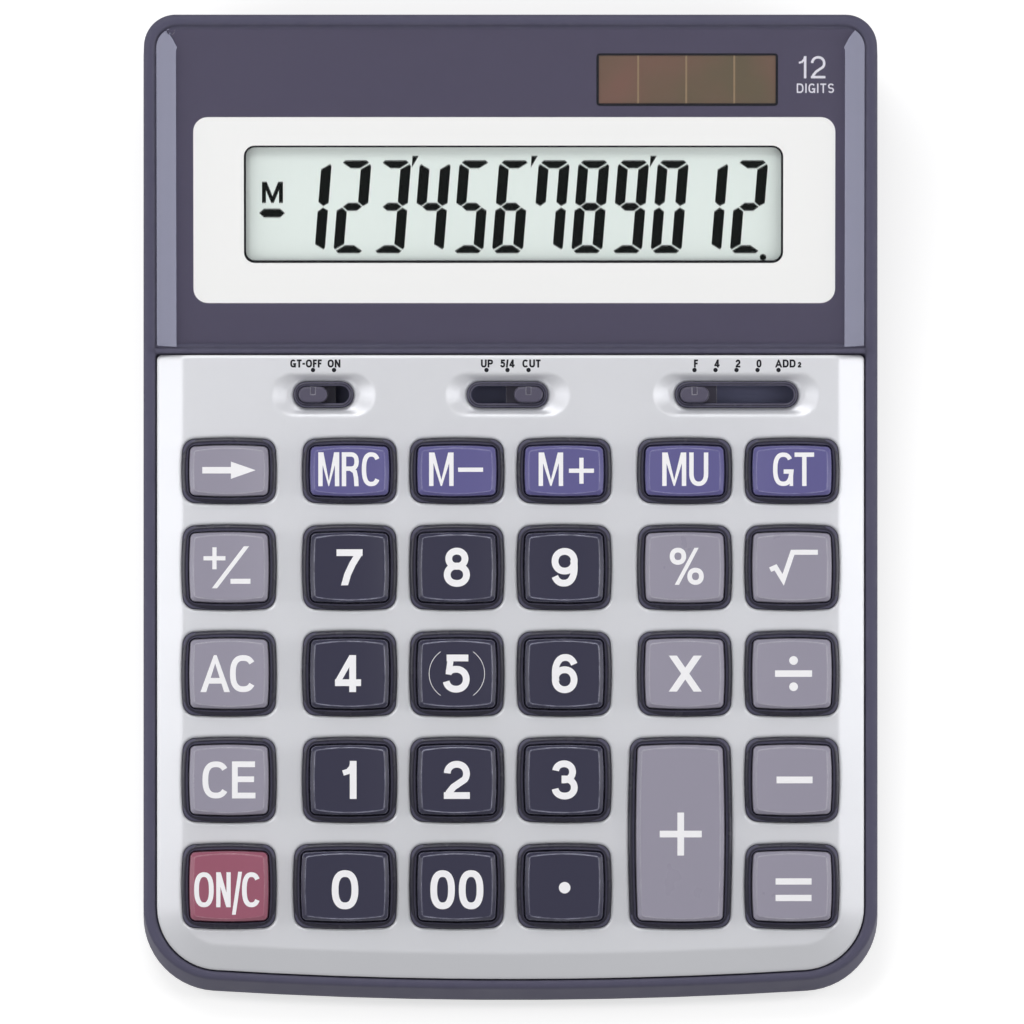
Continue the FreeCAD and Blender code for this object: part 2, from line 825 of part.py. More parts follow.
def lower_case():
    """The bottom shell with its battery bay, door rails, screw bosses and foot seats."""
    body = lower_blank()
    hollow = ruled(lower_outline(section_low, wall), lower_outline(parting + 1, wall))
    hollow = placed(hollow, deck_frame)
    floor_top = foot_height + base_floor
    hollow = hollow.common(block(-far, far, -far, far, floor_top, far))
    body = body.cut(hollow)
    bay_front = bay_centre_y - bay_half_y
    bay_rear = bay_centre_y + bay_half_y
    added = [block(
        -bay_half - bay_wall, bay_half + bay_wall, bay_front - bay_wall, bay_rear + bay_wall,
        channel_top, bay_top + bay_wall,
    )]
    rail_outer = channel_half + rail_width
    rear_inside = rear_y + deck_origin.y
    for side in (-1, 1):
        x0, x1 = sorted((side * (bay_half + root), side * rail_outer))
        added.append(block(
            x0, x1, door_front_y - rail_width, rear_inside, foot_height, channel_top + rail_height,
        ))
    blank = lower_blank()
    added = [piece.common(blank) for piece in added]
    for x, y, _, meet, _ in screw_plan():
        added.append(rod((x, y), seat_boss_radius, foot_height, meet))
    body = body.multiFuse(added)
    removed = [block(-bay_half, bay_half, bay_front, bay_rear, foot_height - 1, bay_top)]
    plate_opening = door_half + door_gap
    removed.append(block(
        -plate_opening, plate_opening, door_front_y - door_gap, far, foot_height - 1, tongue_bottom,
    ))
    removed.append(block(
        -channel_half, channel_half, door_front_y - door_gap, far,
        tongue_bottom - rest_gap, channel_top,
    ))
    for side in (-1, 1):
        slot_x = sorted((side * bay_half, side * (bay_half - contact_thickness - foot_gap)))
        slot_half = tail_width / 2 + rest_gap
        removed.append(block(
            slot_x[0], slot_x[1], bay_centre_y - slot_half, bay_centre_y + slot_half,
            bay_top - 1, bay_top + bay_wall + 1,
        ))
    for x, y, seat, meet, _ in screw_plan():
        removed.append(rod((x, y), screw_head_radius + screw_clearance, foot_height - 1, seat))
        removed.append(rod((x, y), screw_radius + screw_clearance, seat - weld, meet + 1))
    for x, y in foot_spots():
        removed.append(rod((x, y), foot_radius + foot_gap, foot_height - 1, foot_height + foot_seat))
    return body.cut(Part.makeCompound(removed))


def foot_spots():
    ends = (front_foot_inset - half_length, half_length - rear_foot_inset)
    return [(side * (half_width - foot_side), y) for y in ends for side in (-1, 1)]


def face_plate():
    """The pressed metal deck plate: bevelled on three sides, pierced for keys and switches."""
    edge = upright(plate_outline(0, plate_edge_rise - plate_thickness), plate_thickness)
    slope = ruled(plate_outline(0, plate_edge_rise), plate_outline(plate_bevel, plate_rise))
    under = ruled(
        inner_plate_outline(plate_thickness, plate_edge_rise - plate_thickness),
        inner_plate_outline(plate_bevel + plate_thickness / 2, plate_rise - plate_thickness),
    )
    plate = edge.fuse(slope).cut(under)
    sunk = []
    removed = []
    for centre, travel, _ in switch_plan().values():
        length, width = slot_size(travel)
        outer = (length + 2 * slot_rim, width + 2 * slot_rim)
        wide = (outer[0] + 2 * dish_end, outer[1] + 2 * dish_side)
        small = (wide[0] - 2 * dish_end_slope, wide[1] - 2 * dish_side_slope)
        spot = (centre, switch_row)
        removed.append(dish(wide, small, spot, plate_rise, 0))
        sunk.append(dish(wide, small, spot, plate_rise - plate_thickness, plate_thickness / 2))
        gap = 2 * plate_hole_gap
        slot = stadium(outer[0] + gap, outer[1] + gap, spot, deck_floor_top - 1)
        removed.append(upright(slot, plate_rise - deck_floor_top + 3))
    for x, v, size in key_plan().values():
        hole = pillow_block(size, -plate_hole_gap, deck_floor_top - 1, plate_rise + 1)
        removed.append(hole.translated(V(x, v, 0)))
    plate = plate.multiFuse(sunk).cut(Part.makeCompound(removed))
    return placed(plate, deck_frame)


def inner_plate_outline(inset, height):
    return outline(
        plate_half_width - inset, inset, plate_rear - plate_thickness, front_arc_radius,
        plate_corner_radius - inset, sharp_corner, height,
    )


def dish(wide, small, spot, top, grow):
    """A pressed hollow round a switch, from its rim down to its flat bottom."""
    upper = stadium(wide[0] + 2 * grow, wide[1] + 2 * grow, spot, top)
    lower = stadium(small[0] + 2 * grow, small[1] + 2 * grow, spot, top - dish_sink)
    return ruled(lower, upper)


def display_lens():
    """The clear window over the display: flat underneath, bevelled at its sides and rear."""
    def plan(inset, height):
        corner = lens_corner_radius - inset * 0.9
        return display_outline(plate_half_width - inset, lens_front, lens_rear - inset, corner, height)

    edge = upright(plan(0, lens_bottom), plate_edge_rise - lens_bottom)
    slope = ruled(plan(0, plate_edge_rise), plan(lens_bevel, plate_rise))
    return placed(edge.fuse(slope), display_frame)


def display_mask():
    """The printed sheet behind the window, open at the display and the solar cell."""
    inset = mask_inset
    wire = display_outline(
        plate_half_width - inset, lens_front + inset, lens_rear - inset,
        lens_corner_radius - inset, display_floor_top,
    )
    sheet = upright(wire, mask_thickness)
    low, high = display_floor_top - 1, lens_bottom + 1
    view = window(
        lcd_window_width, lcd_window_height, window_corner,
        (lcd_window_shift, lcd_window_centre), low, high,
    )
    solar = window(
        solar_width, solar_height, window_corner / 3, (solar_centre_x, solar_centre), low, high,
    )
    return placed(sheet.cut(view).cut(solar), display_frame)


def lcd_panel():
    """Two glass plates; the front one stands out at the deck side for the ribbon."""
    x0 = lcd_window_shift - glass_width / 2
    w0 = lcd_window_centre - glass_height / 2
    front = block(x0, x0 + glass_width, w0, w0 + glass_height, glass_middle, glass_top)
    back = block(x0, x0 + glass_width, w0 + glass_ledge, w0 + glass_height, glass_bottom, glass_middle)
    return placed(front.fuse(back), display_frame)


def lcd_holder():
    """The frame that clamps the display panel from behind, with four screw ears."""
    spot = (lcd_window_shift, lcd_window_centre)
    width, length = glass_width + 2 * holder_margin, glass_height + 2 * holder_margin
    frame = window(width, length, sharp_corner, spot, holder_bottom, holder_top)
    opening = window(
        width - 2 * holder_bar, length - 2 * holder_bar, window_corner, spot,
        holder_bottom - 1, holder_top + 1,
    )
    ears = []
    bores = [opening]
    for x, w in holder_screws:
        inner = lcd_window_shift + math.copysign(width / 2 - 1, x)
        outer = x + math.copysign(holder_ear / 2, x)
        x0, x1 = sorted((inner, outer))
        ears.append(block(x0, x1, w - holder_ear, w + holder_ear, holder_bottom, holder_top))
        hole_radius = board_screw_radius + screw_clearance
        bores.append(rod((x, w), hole_radius, holder_bottom - 1, holder_top + 1))
    return placed(frame.multiFuse(ears).cut(Part.makeCompound(bores)), display_frame)


def lcd_ribbon():
    """The flat lead from the front glass's ledge down to the circuit board's rear edge."""
    half = ribbon_thickness / 2
    edge = lcd_window_centre - glass_height / 2
    level = glass_middle - rest_gap - half
    spots = [
        display_in_deck.multVec(V(0, edge + glass_ledge - root, level)),
        display_in_deck.multVec(V(0, edge - ribbon_overhang, level)),
        V(0, board_rear + ribbon_turn, board_top + ribbon_turn / 2),
        V(0, board_rear + root, board_top + rest_gap + half),
        V(0, board_rear - ribbon_overhang, board_top + rest_gap + half),
    ]
    along = (spots[1] - spots[0]).normalize()
    across = V(1, 0, 0)
    square = across.cross(along)
    corners = [
        spots[0] + across * (a * ribbon_width / 2) + square * (b * half)
        for a, b in [(-1, -1), (1, -1), (1, 1), (-1, 1), (-1, -1)]
    ]
    ribbon = bent_path(spots).makePipeShell([Part.makePolygon(corners)], True, False)
    return placed(ribbon, deck_frame)


def circuit_board():
    half = plate_half_width - board_margin
    spot = (0, (board_front_margin + board_rear) / 2)
    length = board_rear - board_front_margin
    board = window(2 * half, length, board_corner, spot, board_bottom, board_top)
    holes = [
        rod((x, v), board_screw_radius + screw_clearance, board_bottom - 1, board_top + 1)
        for x in board_screw_x
        for v in board_screw_v
    ]
    return placed(board.cut(Part.makeCompound(holes)), deck_frame)


def chip_blob():
    """The drop of black resin over the processor chip, under the board."""
    ball = (blob_radius ** 2 + blob_height ** 2) / (2 * blob_height)
    drop = Part.makeSphere(ball, V(0, rows[2], board_bottom - blob_height + ball))
    return placed(drop.common(block(-far, far, -far, far, -far, board_bottom)), deck_frame)


def circuit_components():
    """The small parts soldered under the board: capacitors, resonator, resistors, diodes."""
    pieces = []
    can_v = rows[3] + capacitor_offset
    chip_v = rows[3] + resistor_offset
    diode_v = rows[3] + diode_offset
    for x in capacitor_x:
        can = rod((x, can_v), capacitor_radius, board_bottom - capacitor_height, board_bottom)
        rim = [e for e in can.Edges if e.BoundBox.ZMax < board_bottom - capacitor_height / 2]
        pieces.append(can.makeFillet(capacitor_radius / 6, rim))
    length, width, height = resonator_size
    pieces.append(block(
        resonator_x, resonator_x + length, can_v, can_v + width,
        board_bottom - height, board_bottom,
    ))
    length, width, height = resistor_size
    for i in range(resistor_count):
        x0 = resistor_pitch * (i - resistor_count / 2)
        pieces.append(block(
            x0, x0 + length, chip_v, chip_v + width, board_bottom - height, board_bottom,
        ))
    for i in range(diode_count):
        start = V(diode_x, diode_v + diode_pitch * i, board_bottom - diode_radius)
        pieces.append(Part.makeCylinder(diode_radius, diode_length, start, V(1, 0, 0)))
    return placed(Part.makeCompound(pieces), deck_frame)


def rubber_keypad():
    """The rubber sheet whose domes carry the keys."""
    half = columns[5] + key_width / 2 + sheet_margin
    sheet = block(-half, half, sheet_front, sheet_rear, board_top, sheet_top)
    domes = []
    hollows = []
    skirt = dome_top - dome_pad
    for x, v, _ in key_plan().values():
        foot = sheet_top - root
        domes.append(Part.makeCone(dome_radius, dome_top_radius, skirt - foot, V(x, v, foot)))
        domes.append(rod((x, v), dome_top_radius, skirt, dome_top))
        hollows.append(Part.makeCone(
            dome_radius - dome_wall, dome_top_radius - dome_wall, skirt - board_top - dome_wall,
            V(x, v, board_top),
        ))
    for x in board_screw_x:
        for v in board_screw_v:
            hollows.append(rod((x, v), board_boss_radius + boss_step, board_top - 1, sheet_top + 1))
    pad = sheet.multiFuse(domes).cut(Part.makeCompound(hollows))
    return placed(pad, deck_frame)


def key_cap(size):
    """A hollow key: flange under the deck, straight skirt, bevelled crown, dished top, post."""
    base = collar_width + key_gap
    shoulder = key_top - key_shoulder_drop
    crown = base + key_lean + key_band
    skirt = pillow_block(size, base, flange_bottom, collar_top)
    body = pillow_taper(size, base, collar_top, base + key_lean, shoulder)
    bevel = pillow_taper(size, base + key_lean, shoulder, crown, key_top)
    flange = pillow_block(size, base - key_flange_reach, flange_bottom, flange_top)
    half_chord = size[0] / 2 - crown - dish_margin
    radius = (half_chord ** 2 + dish_depth ** 2) / (2 * dish_depth)
    axis_height = key_top - dish_depth + radius
    hollow_top = key_top - dish_depth - key_roof
    scoop = Part.makeCylinder(radius, far, V(0, -far / 2, axis_height), V(0, 1, 0))
    cap = skirt.multiFuse([body, bevel, flange]).removeSplitter()
    crests = [
        e for e in cap.Edges
        if e.BoundBox.ZMin > shoulder - 0.01 and e.BoundBox.ZMax - e.BoundBox.ZMin < 0.01
    ]
    cap = cap.makeFillet(key_edge_round, crests).cut(scoop)
    hollow = pillow_block(size, base + key_wall, flange_bottom - 1, hollow_top)
    post = rod((0, 0), key_post_radius, dome_top + rest_gap, hollow_top + root)
    return cap.cut(hollow).fuse(post)


def switch_knob(rest):
    """A slide knob: a grip through the slot and a flange under the deck floor."""
    low = deck_floor_bottom - rest_gap
    spot = (rest, switch_row)
    top = slot_collar_top + knob_rise
    grip = upright(stadium(knob_length, knob_width, spot, low - weld), top - low + weld)
    crest = [e for e in grip.Edges if e.BoundBox.ZMin > top - 0.01]
    grip = grip.makeFillet(knob_round, crest)
    reach = knob_length / 2 + knob_flange_reach
    half = knob_flange_width / 2
    flange = block(
        rest - reach, rest + reach, switch_row - half, switch_row + half, low - knob_flange, low,
    )
    mark = block(
        rest - knob_mark_width / 2, rest + knob_mark_width / 2, switch_row, switch_row + knob_width,
        top - knob_mark_depth, top + 1,
    )
    return placed(grip.fuse(flange).cut(mark), deck_frame)


def switch_wiper(rest):
    """The sprung metal contact under a knob, with two feet over the board's tracks."""
    top = deck_floor_bottom - rest_gap - knob_flange
    low = board_top + rest_gap
    reach = knob_length / 2
    thick = wiper_thickness
    half = knob_width / 2
    strip = block(-reach, reach, -half, half, top - thick, top)
    legs = []
    for side in (-1, 1):
        points = [
            (reach - 2 * thick, top), (reach, top), (wiper_foot, low), (wiper_foot - 2 * thick, low),
        ]
        corners = [V(side * x, -half, n) for x, n in points + points[:1]]
        legs.append(Part.Face(Part.makePolygon(corners)).extrude(V(0, 2 * half, 0)))
    return placed(strip.multiFuse(legs).translated(V(rest, switch_row, 0)), deck_frame)


def solar_cell():
    spot_x, spot_w = solar_centre_x, solar_centre
    cell = block(
        spot_x - cell_half_x, spot_x + cell_half_x, spot_w - cell_half_w, spot_w + cell_half_w,
        solar_bottom, solar_bottom + solar_thickness,
    )
    return placed(cell, display_frame)


def solar_wires():
    """Two leads from the solar cell, round the display holder, to the board's rear corner."""
    wires = []
    for i, (x, w) in enumerate(solar_lead_spots()):
        lane = solar_lane_x - solar_lane_pitch * i
        drop = display_floor_bottom - solar_lead_drop
        landing = (lane - 4.0, board_rear - 2.5 - 2 * i)
        spots = [
            world_from_display(x, w, solar_bottom),
            world_from_display(x, w, drop),
            world_from_display(lane - 9.0, w - 6.5, drop - 1.2),
            world_from_display(lane, w - 15.0, drop - 1.0),
            world_from_display(lane, 9.0, drop + 0.6),
            world_from_deck(lane - 1.0, divider - 1.0, deck_floor_bottom - 1.6),
            world_from_deck(landing[0], landing[1], board_top + 2.9),
            world_from_deck(landing[0], landing[1], board_top),
        ]
        wires.append(tube(spots, wire_radius))
    return Part.makeCompound(wires)


def battery_wires():
    """Two leads from the battery contacts' tails to the underside of the board."""
    wires = []
    for side in (-1, 1):
        x = side * (bay_half - contact_thickness / 2)
        tail_y = bay_centre_y - tail_width / 2
        tail_z = bay_top + bay_wall + tail_rise / 2
        solder_x, solder_v = side * battery_lead_x, board_rear - battery_lead_inset
        spots = [
            V(x, tail_y, tail_z),
            V(x, tail_y - 7.0, tail_z),
            V(x - side * 2.0, tail_y - 22.0, tail_z - 5.5),
            world_from_deck(solder_x, solder_v, board_bottom - 5.0),
            world_from_deck(solder_x, solder_v, board_bottom),
        ]
        wires.append(tube(spots, wire_radius))
    return Part.makeCompound(wires)


def case_screws():
    screws = []
    for x, y, seat, _, tip in screw_plan():
        head = rod((x, y), screw_head_radius, seat - screw_head_height, seat)
        shank = rod((x, y), screw_radius, seat - weld, tip)
        face = seat - screw_head_height
        screws.append(cross_cut(head.fuse(shank), x, y, face, screw_head_radius * cross_reach))
    return Part.makeCompound(screws)


def cross_cut(screw, x, y, face, reach):
    """Cuts a cross recess into a screw head whose face looks down."""
    thin = cross_width / 2
    first = block(x - reach, x + reach, y - thin, y + thin, face - 1, face + cross_depth)
    second = block(x - thin, x + thin, y - reach, y + reach, face - 1, face + cross_depth)
    return screw.cut(first.fuse(second))


def small_screw(x, v, face, clamped):
    """A board or holder screw: its head lies against a face from below, through a thickness."""
    low = face - board_screw_head_height
    head = rod((x, v), board_screw_head, low, face)
    shank = rod((x, v), board_screw_radius, face - weld, face + clamped + board_screw_bite)
    return cross_cut(head.fuse(shank), x, v, low, board_screw_head * cross_reach)


def board_screws():
    """The screws of the circuit board, and those of the display holder."""
    screws = [
        placed(small_screw(x, v, board_bottom, board_thickness), deck_frame)
        for x in board_screw_x
        for v in board_screw_v
    ]
    screws += [
        placed(small_screw(x, w, holder_bottom, holder_thickness), display_frame)
        for x, w in holder_screws
    ]
    return Part.makeCompound(screws)


def rubber_feet():
    feet = []
    for x, y in foot_spots():
        foot = rod((x, y), foot_radius, 0, foot_height + foot_seat)
        rim = [e for e in foot.Edges if e.BoundBox.ZMax < 0.01]
        feet.append(foot.makeFillet(foot_round, rim))
    return Part.makeCompound(feet)


def battery_door():
    """The sliding door under the cell: a flush plate, side tongues and finger grooves."""
    plate = block(-door_half, door_half, door_front_y, far, door_bottom, tongue_top)
    reach = door_half + door_tongue_reach
    tongues = block(-reach, reach, door_front_y, far, tongue_bottom, tongue_top)
    door = plate.fuse(tongues).common(lower_blank())
    rear = rear_face(door_bottom)
    grooves = []
    for i in range(door_rib_count):
        y = rear - door_rib_inset - door_rib_pitch * i
        grooves.append(block(
            -door_rib_length / 2, door_rib_length / 2, y - door_rib_width / 2, y + door_rib_width / 2,
            door_bottom - 1, door_bottom + door_rib_depth,
        ))
    return door.cut(Part.makeCompound(grooves))


def aa_cell():
    """The cell along X: its can, its raised tip and the flat end against the spring."""
    x_way = V(1, 0, 0)
    centre = V(cell_start, bay_centre_y, cell_z)
    can = Part.makeCylinder(cell_radius, cell_length, centre, x_way)
    can = can.makeFillet(cell_round, [e for e in can.Edges if len(e.Vertexes) == 1])
    tip = Part.makeCylinder(
        cell_tip_radius, cell_tip_length + weld,
        V(cell_start + cell_length - weld, bay_centre_y, cell_z), x_way,
    )
    return can.fuse(tip)


def spring_point(turn):
    """A place on the cone-shaped coil and its direction, by turns from the wide end."""
    share = turn / spring_turns
    radius = spring_large_radius + (spring_small_radius - spring_large_radius) * share
    angle = 2 * math.pi * turn
    rise = (spring_length - 2 * spring_wire) * share
    shrink = (spring_small_radius - spring_large_radius) / spring_turns
    place = V(rise, radius * math.cos(angle), radius * math.sin(angle))
    way = V(
        (spring_length - 2 * spring_wire) / spring_turns,
        shrink * math.cos(angle) - 2 * math.pi * radius * math.sin(angle),
        shrink * math.sin(angle) + 2 * math.pi * radius * math.cos(angle),
    )
    return place, way.normalize()


def battery_spring():
    """The coil against the cell's flat end: one unbroken wire on pairs of tangent arcs."""
    edges = []
    steps = 4 * spring_turns
    samples = [spring_point(i / 4) for i in range(steps + 1)]
    for (p0, t0), (p1, t1) in zip(samples, samples[1:]):
        chord = p1 - p0
        lean = 2 * (1 - t0.dot(t1))
        along = chord.dot(t0 + t1)
        reach = (math.sqrt(along ** 2 + lean * chord.dot(chord)) - along) / lean
        joint = (p0 + t0 * reach + p1 - t1 * reach) * 0.5
        edges.append(arc_between(p0, p0 + t0 * reach, joint))
        edges.append(arc_between(joint, p1 - t1 * reach, p1))
    points = [spring_point(i / 24)[0] for i in range(24 * spring_turns + 1)]
    gaps = [
        a.distanceToPoint(b) for i, a in enumerate(points) for b in points[i + 18:]
    ]
    print("least gap between turns", round(min(gaps) - 2 * spring_wire, 2))
    start, way = samples[0]
    profile = Part.Wire([Part.makeCircle(spring_wire, start, way)])
    coil = Part.Wire(edges).makePipeShell([profile], True, False)
    wide_end = -bay_half + contact_thickness + spring_wire + rest_gap / 2
    return coil.translated(V(wide_end, bay_centre_y, cell_z))


def battery_contacts():
    """The two sprung-steel end plates of the bay, each with a tail up through its roof."""
    plates = []
    for side in (-1, 1):
        x0, x1 = sorted((side * bay_half, side * (bay_half - contact_thickness)))
        plate = block(
            x0, x1, bay_centre_y - contact_width / 2, bay_centre_y + contact_width / 2,
            cell_z - contact_height / 2, cell_z + contact_height / 2,
        )
        tail = block(
            x0, x1, bay_centre_y - tail_width / 2, bay_centre_y + tail_width / 2,
            cell_z, bay_top + bay_wall + tail_rise,
        )
        plates.append(plate.fuse(tail))
    return Part.makeCompound(plates)


def build():
    os.makedirs("parts", exist_ok=True)
    pieces = {}
    caps = {}
    for name, (x, v, size) in key_plan().items():
        if size not in caps:
            caps[size] = key_cap(size)
        pieces[name] = placed(caps[size].translated(V(x, v, 0)), deck_frame)
    for name, (centre, travel, side) in switch_plan().items():
        rest = knob_rest(centre, travel, side)
        pieces[name + "_knob"] = switch_knob(rest)
        pieces[name + "_wiper"] = switch_wiper(rest)
    upper, room = upper_case()
    pieces["upper_case"] = case_bosses(upper, room)
    pieces["lower_case"] = lower_case()
    makers = [
        face_plate, display_lens, display_mask, lcd_panel, lcd_holder, lcd_ribbon,
        circuit_board, chip_blob, circuit_components, rubber_keypad, solar_cell, solar_wires,
        battery_wires, case_screws, board_screws, rubber_feet, battery_door, aa_cell,
        battery_spring, battery_contacts,
    ]
    for maker in makers:
        pieces[maker.__name__] = maker()
    for name, shape in pieces.items():
        if not shape.isValid():
            print("invalid", name)
        print(name, len(shape.Solids), round(shape.Volume, 1))
        shape.exportStep("parts/" + name + ".step")


build()
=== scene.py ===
import logging
import math
from collections.abc import Callable, Sequence
from dataclasses import dataclass
from enum import Enum
from functools import cache

import bmesh
import bpy
from mathutils import Matrix, Vector


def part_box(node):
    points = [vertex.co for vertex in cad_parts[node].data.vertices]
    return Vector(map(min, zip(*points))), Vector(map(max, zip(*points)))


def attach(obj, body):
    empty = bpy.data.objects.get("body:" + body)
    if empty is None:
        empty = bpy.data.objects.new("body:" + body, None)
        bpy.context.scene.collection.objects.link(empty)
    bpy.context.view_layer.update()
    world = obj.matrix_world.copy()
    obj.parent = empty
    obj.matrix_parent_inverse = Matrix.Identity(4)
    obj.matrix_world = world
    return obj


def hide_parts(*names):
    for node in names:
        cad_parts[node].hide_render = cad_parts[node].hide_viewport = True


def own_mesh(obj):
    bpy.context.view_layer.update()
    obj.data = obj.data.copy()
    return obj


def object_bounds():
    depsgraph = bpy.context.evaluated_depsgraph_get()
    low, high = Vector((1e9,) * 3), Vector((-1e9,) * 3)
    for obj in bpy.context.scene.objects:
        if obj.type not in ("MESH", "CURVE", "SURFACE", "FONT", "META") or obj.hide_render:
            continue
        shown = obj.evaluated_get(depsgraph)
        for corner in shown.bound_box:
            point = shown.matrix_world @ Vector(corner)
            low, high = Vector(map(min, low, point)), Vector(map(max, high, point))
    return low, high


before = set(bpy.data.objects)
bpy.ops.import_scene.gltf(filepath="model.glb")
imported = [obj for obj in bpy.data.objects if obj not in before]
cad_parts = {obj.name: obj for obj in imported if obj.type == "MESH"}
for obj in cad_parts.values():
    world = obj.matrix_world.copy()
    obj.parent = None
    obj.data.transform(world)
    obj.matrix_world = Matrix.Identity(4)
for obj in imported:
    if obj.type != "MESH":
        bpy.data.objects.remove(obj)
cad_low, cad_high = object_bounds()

MM = 0.001
CLOSE = 1e-6  # corners this near each other are one
HOUSING = "housing"
ARC_STEP = 9.0
Colour = tuple[float, float, float, float]
Point = tuple[float, float]
Ring = list[Vector]
Outline = tuple[float, float, float, Point]
Tree = bpy.types.NodeTree
Node = bpy.types.Node
Output = bpy.types.NodeSocket
Outputs = bpy.types.bpy_prop_collection

logging.basicConfig(level=logging.INFO, format="%(message)s")
log = logging.getLogger("calculator")


def srgb(red: float, green: float, blue: float, alpha: float = 1.0) -> Colour:
    """Turns a colour of 0 to 255, as a screen shows it, into linear values.

    Args:
        red: Red, 0 to 255.
        green: Green, 0 to 255.
        blue: Blue, 0 to 255.
        alpha: Cover, 0 to 1.

    Returns:
        The linear colour with its alpha.
    """
    shares = [value / 255 for value in (red, green, blue)]
    lines = [s / 12.92 if s <= 0.04045 else ((s + 0.055) / 1.055) ** 2.4 for s in shares]
    return (lines[0], lines[1], lines[2], alpha)


@dataclass(frozen=True)
class Layout:
    """The sizes and places that the pieces share, in millimetres and degrees."""

    deck_slope: float = 6.0
    display_tilt: float = 10.0
    deck_front_height: float = 12.5
    front_lip: float = 4.3
    parting_depth: float = 6.5
    plate_rise: float = 1.6
    column_pitch: float = 21.45
    group_pitch: float = 24.1
    row_pitch: float = 21.25
    function_row_pitch: float = 19.3
    first_row: float = 18.6
    switch_row_pitch: float = 15.25
    switch_to_divider: float = 8.75
    lens_thickness: float = 2.0
    mask_thickness: float = 0.2
    display_floor: float = 2.2
    glass_gap: float = 0.1
    board_top: float = -7.0

    @property
    def columns(self) -> list[float]:
        """The six key columns, as u.

        Returns:
            Their places, from left to right.
        """
        inner, outer = self.column_pitch, self.group_pitch
        half = [inner * 0.5, inner * 1.5]
        return [
            -half[1] - outer, -half[1], -half[0], half[0], half[0] + outer, half[1] + outer,
        ]

    @property
    def rows(self) -> list[float]:
        """The four lower key rows, as v."""
        return [self.first_row + self.row_pitch * i for i in range(4)]

    @property
    def function_row(self) -> float:
        """The row of low keys, as v."""
        return self.rows[3] + self.function_row_pitch

    @property
    def switch_row(self) -> float:
        """The row of slide switches, as v."""
        return self.function_row + self.switch_row_pitch

    @property
    def divider(self) -> float:
        """The line where the display slope starts, as v."""
        return self.switch_row + self.switch_to_divider

    @property
    def lens_bottom(self) -> float:
        """The underside of the display window, as m."""
        return self.plate_rise - self.lens_thickness

    @property
    def glass_top(self) -> float:
        """The front of the display's glass, as m."""
        return self.lens_bottom - self.mask_thickness - self.display_floor - self.glass_gap


@dataclass(frozen=True)
class Slope:
    """A sloping face of the case, with its own axes in millimetres."""

    matrix: Matrix

    def spot(self, x: float, y: float, z: float = 0.0) -> Vector:
        """Gives a place on the slope in the scene's metres."""
        return self.matrix @ Vector((x, y, z))

    @property
    def normal(self) -> Vector:
        """The direction square to the slope, upwards."""
        return (self.matrix.to_3x3() @ Vector((0, 0, 1))).normalized()


def deck_slope(layout: Layout) -> Slope:
    """Works out the keyboard slope from the case's front edge.

    Args:
        layout: The shared sizes.

    Returns:
        The slope with u along X and v up the keyboard.
    """
    angle = math.radians(layout.deck_slope)
    lead = -layout.front_lip * math.cos(angle) + layout.parting_depth * math.sin(angle)
    origin = Vector((0, cad_low.y - lead * MM, layout.deck_front_height * MM))
    turn = Matrix.Rotation(angle, 4, "X")
    return Slope(Matrix.Translation(origin) @ turn @ Matrix.Scale(MM, 4))


def display_slope(layout: Layout, deck: Slope) -> Slope:
    """Works out the display slope, with u along X and w up it, from the keyboard's."""
    turn = Matrix.Rotation(math.radians(layout.display_tilt), 4, "X")
    return Slope(deck.matrix @ Matrix.Translation((0, layout.divider, 0)) @ turn)


LAYOUT = Layout()
DECK = deck_slope(LAYOUT)
DISPLAY = display_slope(LAYOUT, DECK)
TABLE = Slope(Matrix.Scale(MM, 4))


class Graph:
    """A node tree being drawn, with short calls that add nodes and join them."""

    def __init__(self, tree: Tree) -> None:
        """Starts on a tree."""
        self.tree = tree

    def feed(self, node: Node, inputs: dict) -> Node:
        """Sets a node's inputs to plain values, or joins outputs to them.

        Args:
            node: The node.
            inputs: A value or another node's output for each input, by name or number.

        Returns:
            The node.
        """
        for key, value in inputs.items():
            if isinstance(value, Output):
                self.tree.links.new(value, node.inputs[key])
            else:
                node.inputs[key].default_value = value
        return node

    def add(self, kind: str, inputs: dict | None = None, **settings: object) -> Node:
        """Adds one node.

        Args:
            kind: The node's type.
            inputs: A value or another node's output for each input, by name or number.
            **settings: The node's own properties.

        Returns:
            The node.
        """
        node = self.tree.nodes.new(kind)
        for name, value in settings.items():
            setattr(node, name, value)
        return self.feed(node, inputs or {})

    def group(self, tree: Tree, inputs: dict) -> Node:
        """Places a shader group with its own values and returns its node."""
        return self.add("ShaderNodeGroup", inputs, node_tree=tree)

    def math(self, operation: str, *values: object) -> Output:
        """Adds a sum of one to three values and returns its result."""
        node = self.add("ShaderNodeMath", dict(enumerate(values)), operation=operation)
        return node.outputs[0]

    def blend(self, factor: object, first: object, second: object) -> Output:
        """Mixes two colours and returns the result."""
        node = self.add("ShaderNodeMix", {0: factor, 6: first, 7: second}, data_type="RGBA")
        return node.outputs[2]

    def noise(
        self, place: Output, scale: float | Output, detail: float = 2.0, **others: float,
    ) -> Output:
        """Adds cloudy noise and returns its value, of about 0 to 1."""
        inputs = {"Vector": place, "Scale": scale, "Detail": detail, **others}
        return self.add("ShaderNodeTexNoise", inputs).outputs[0]


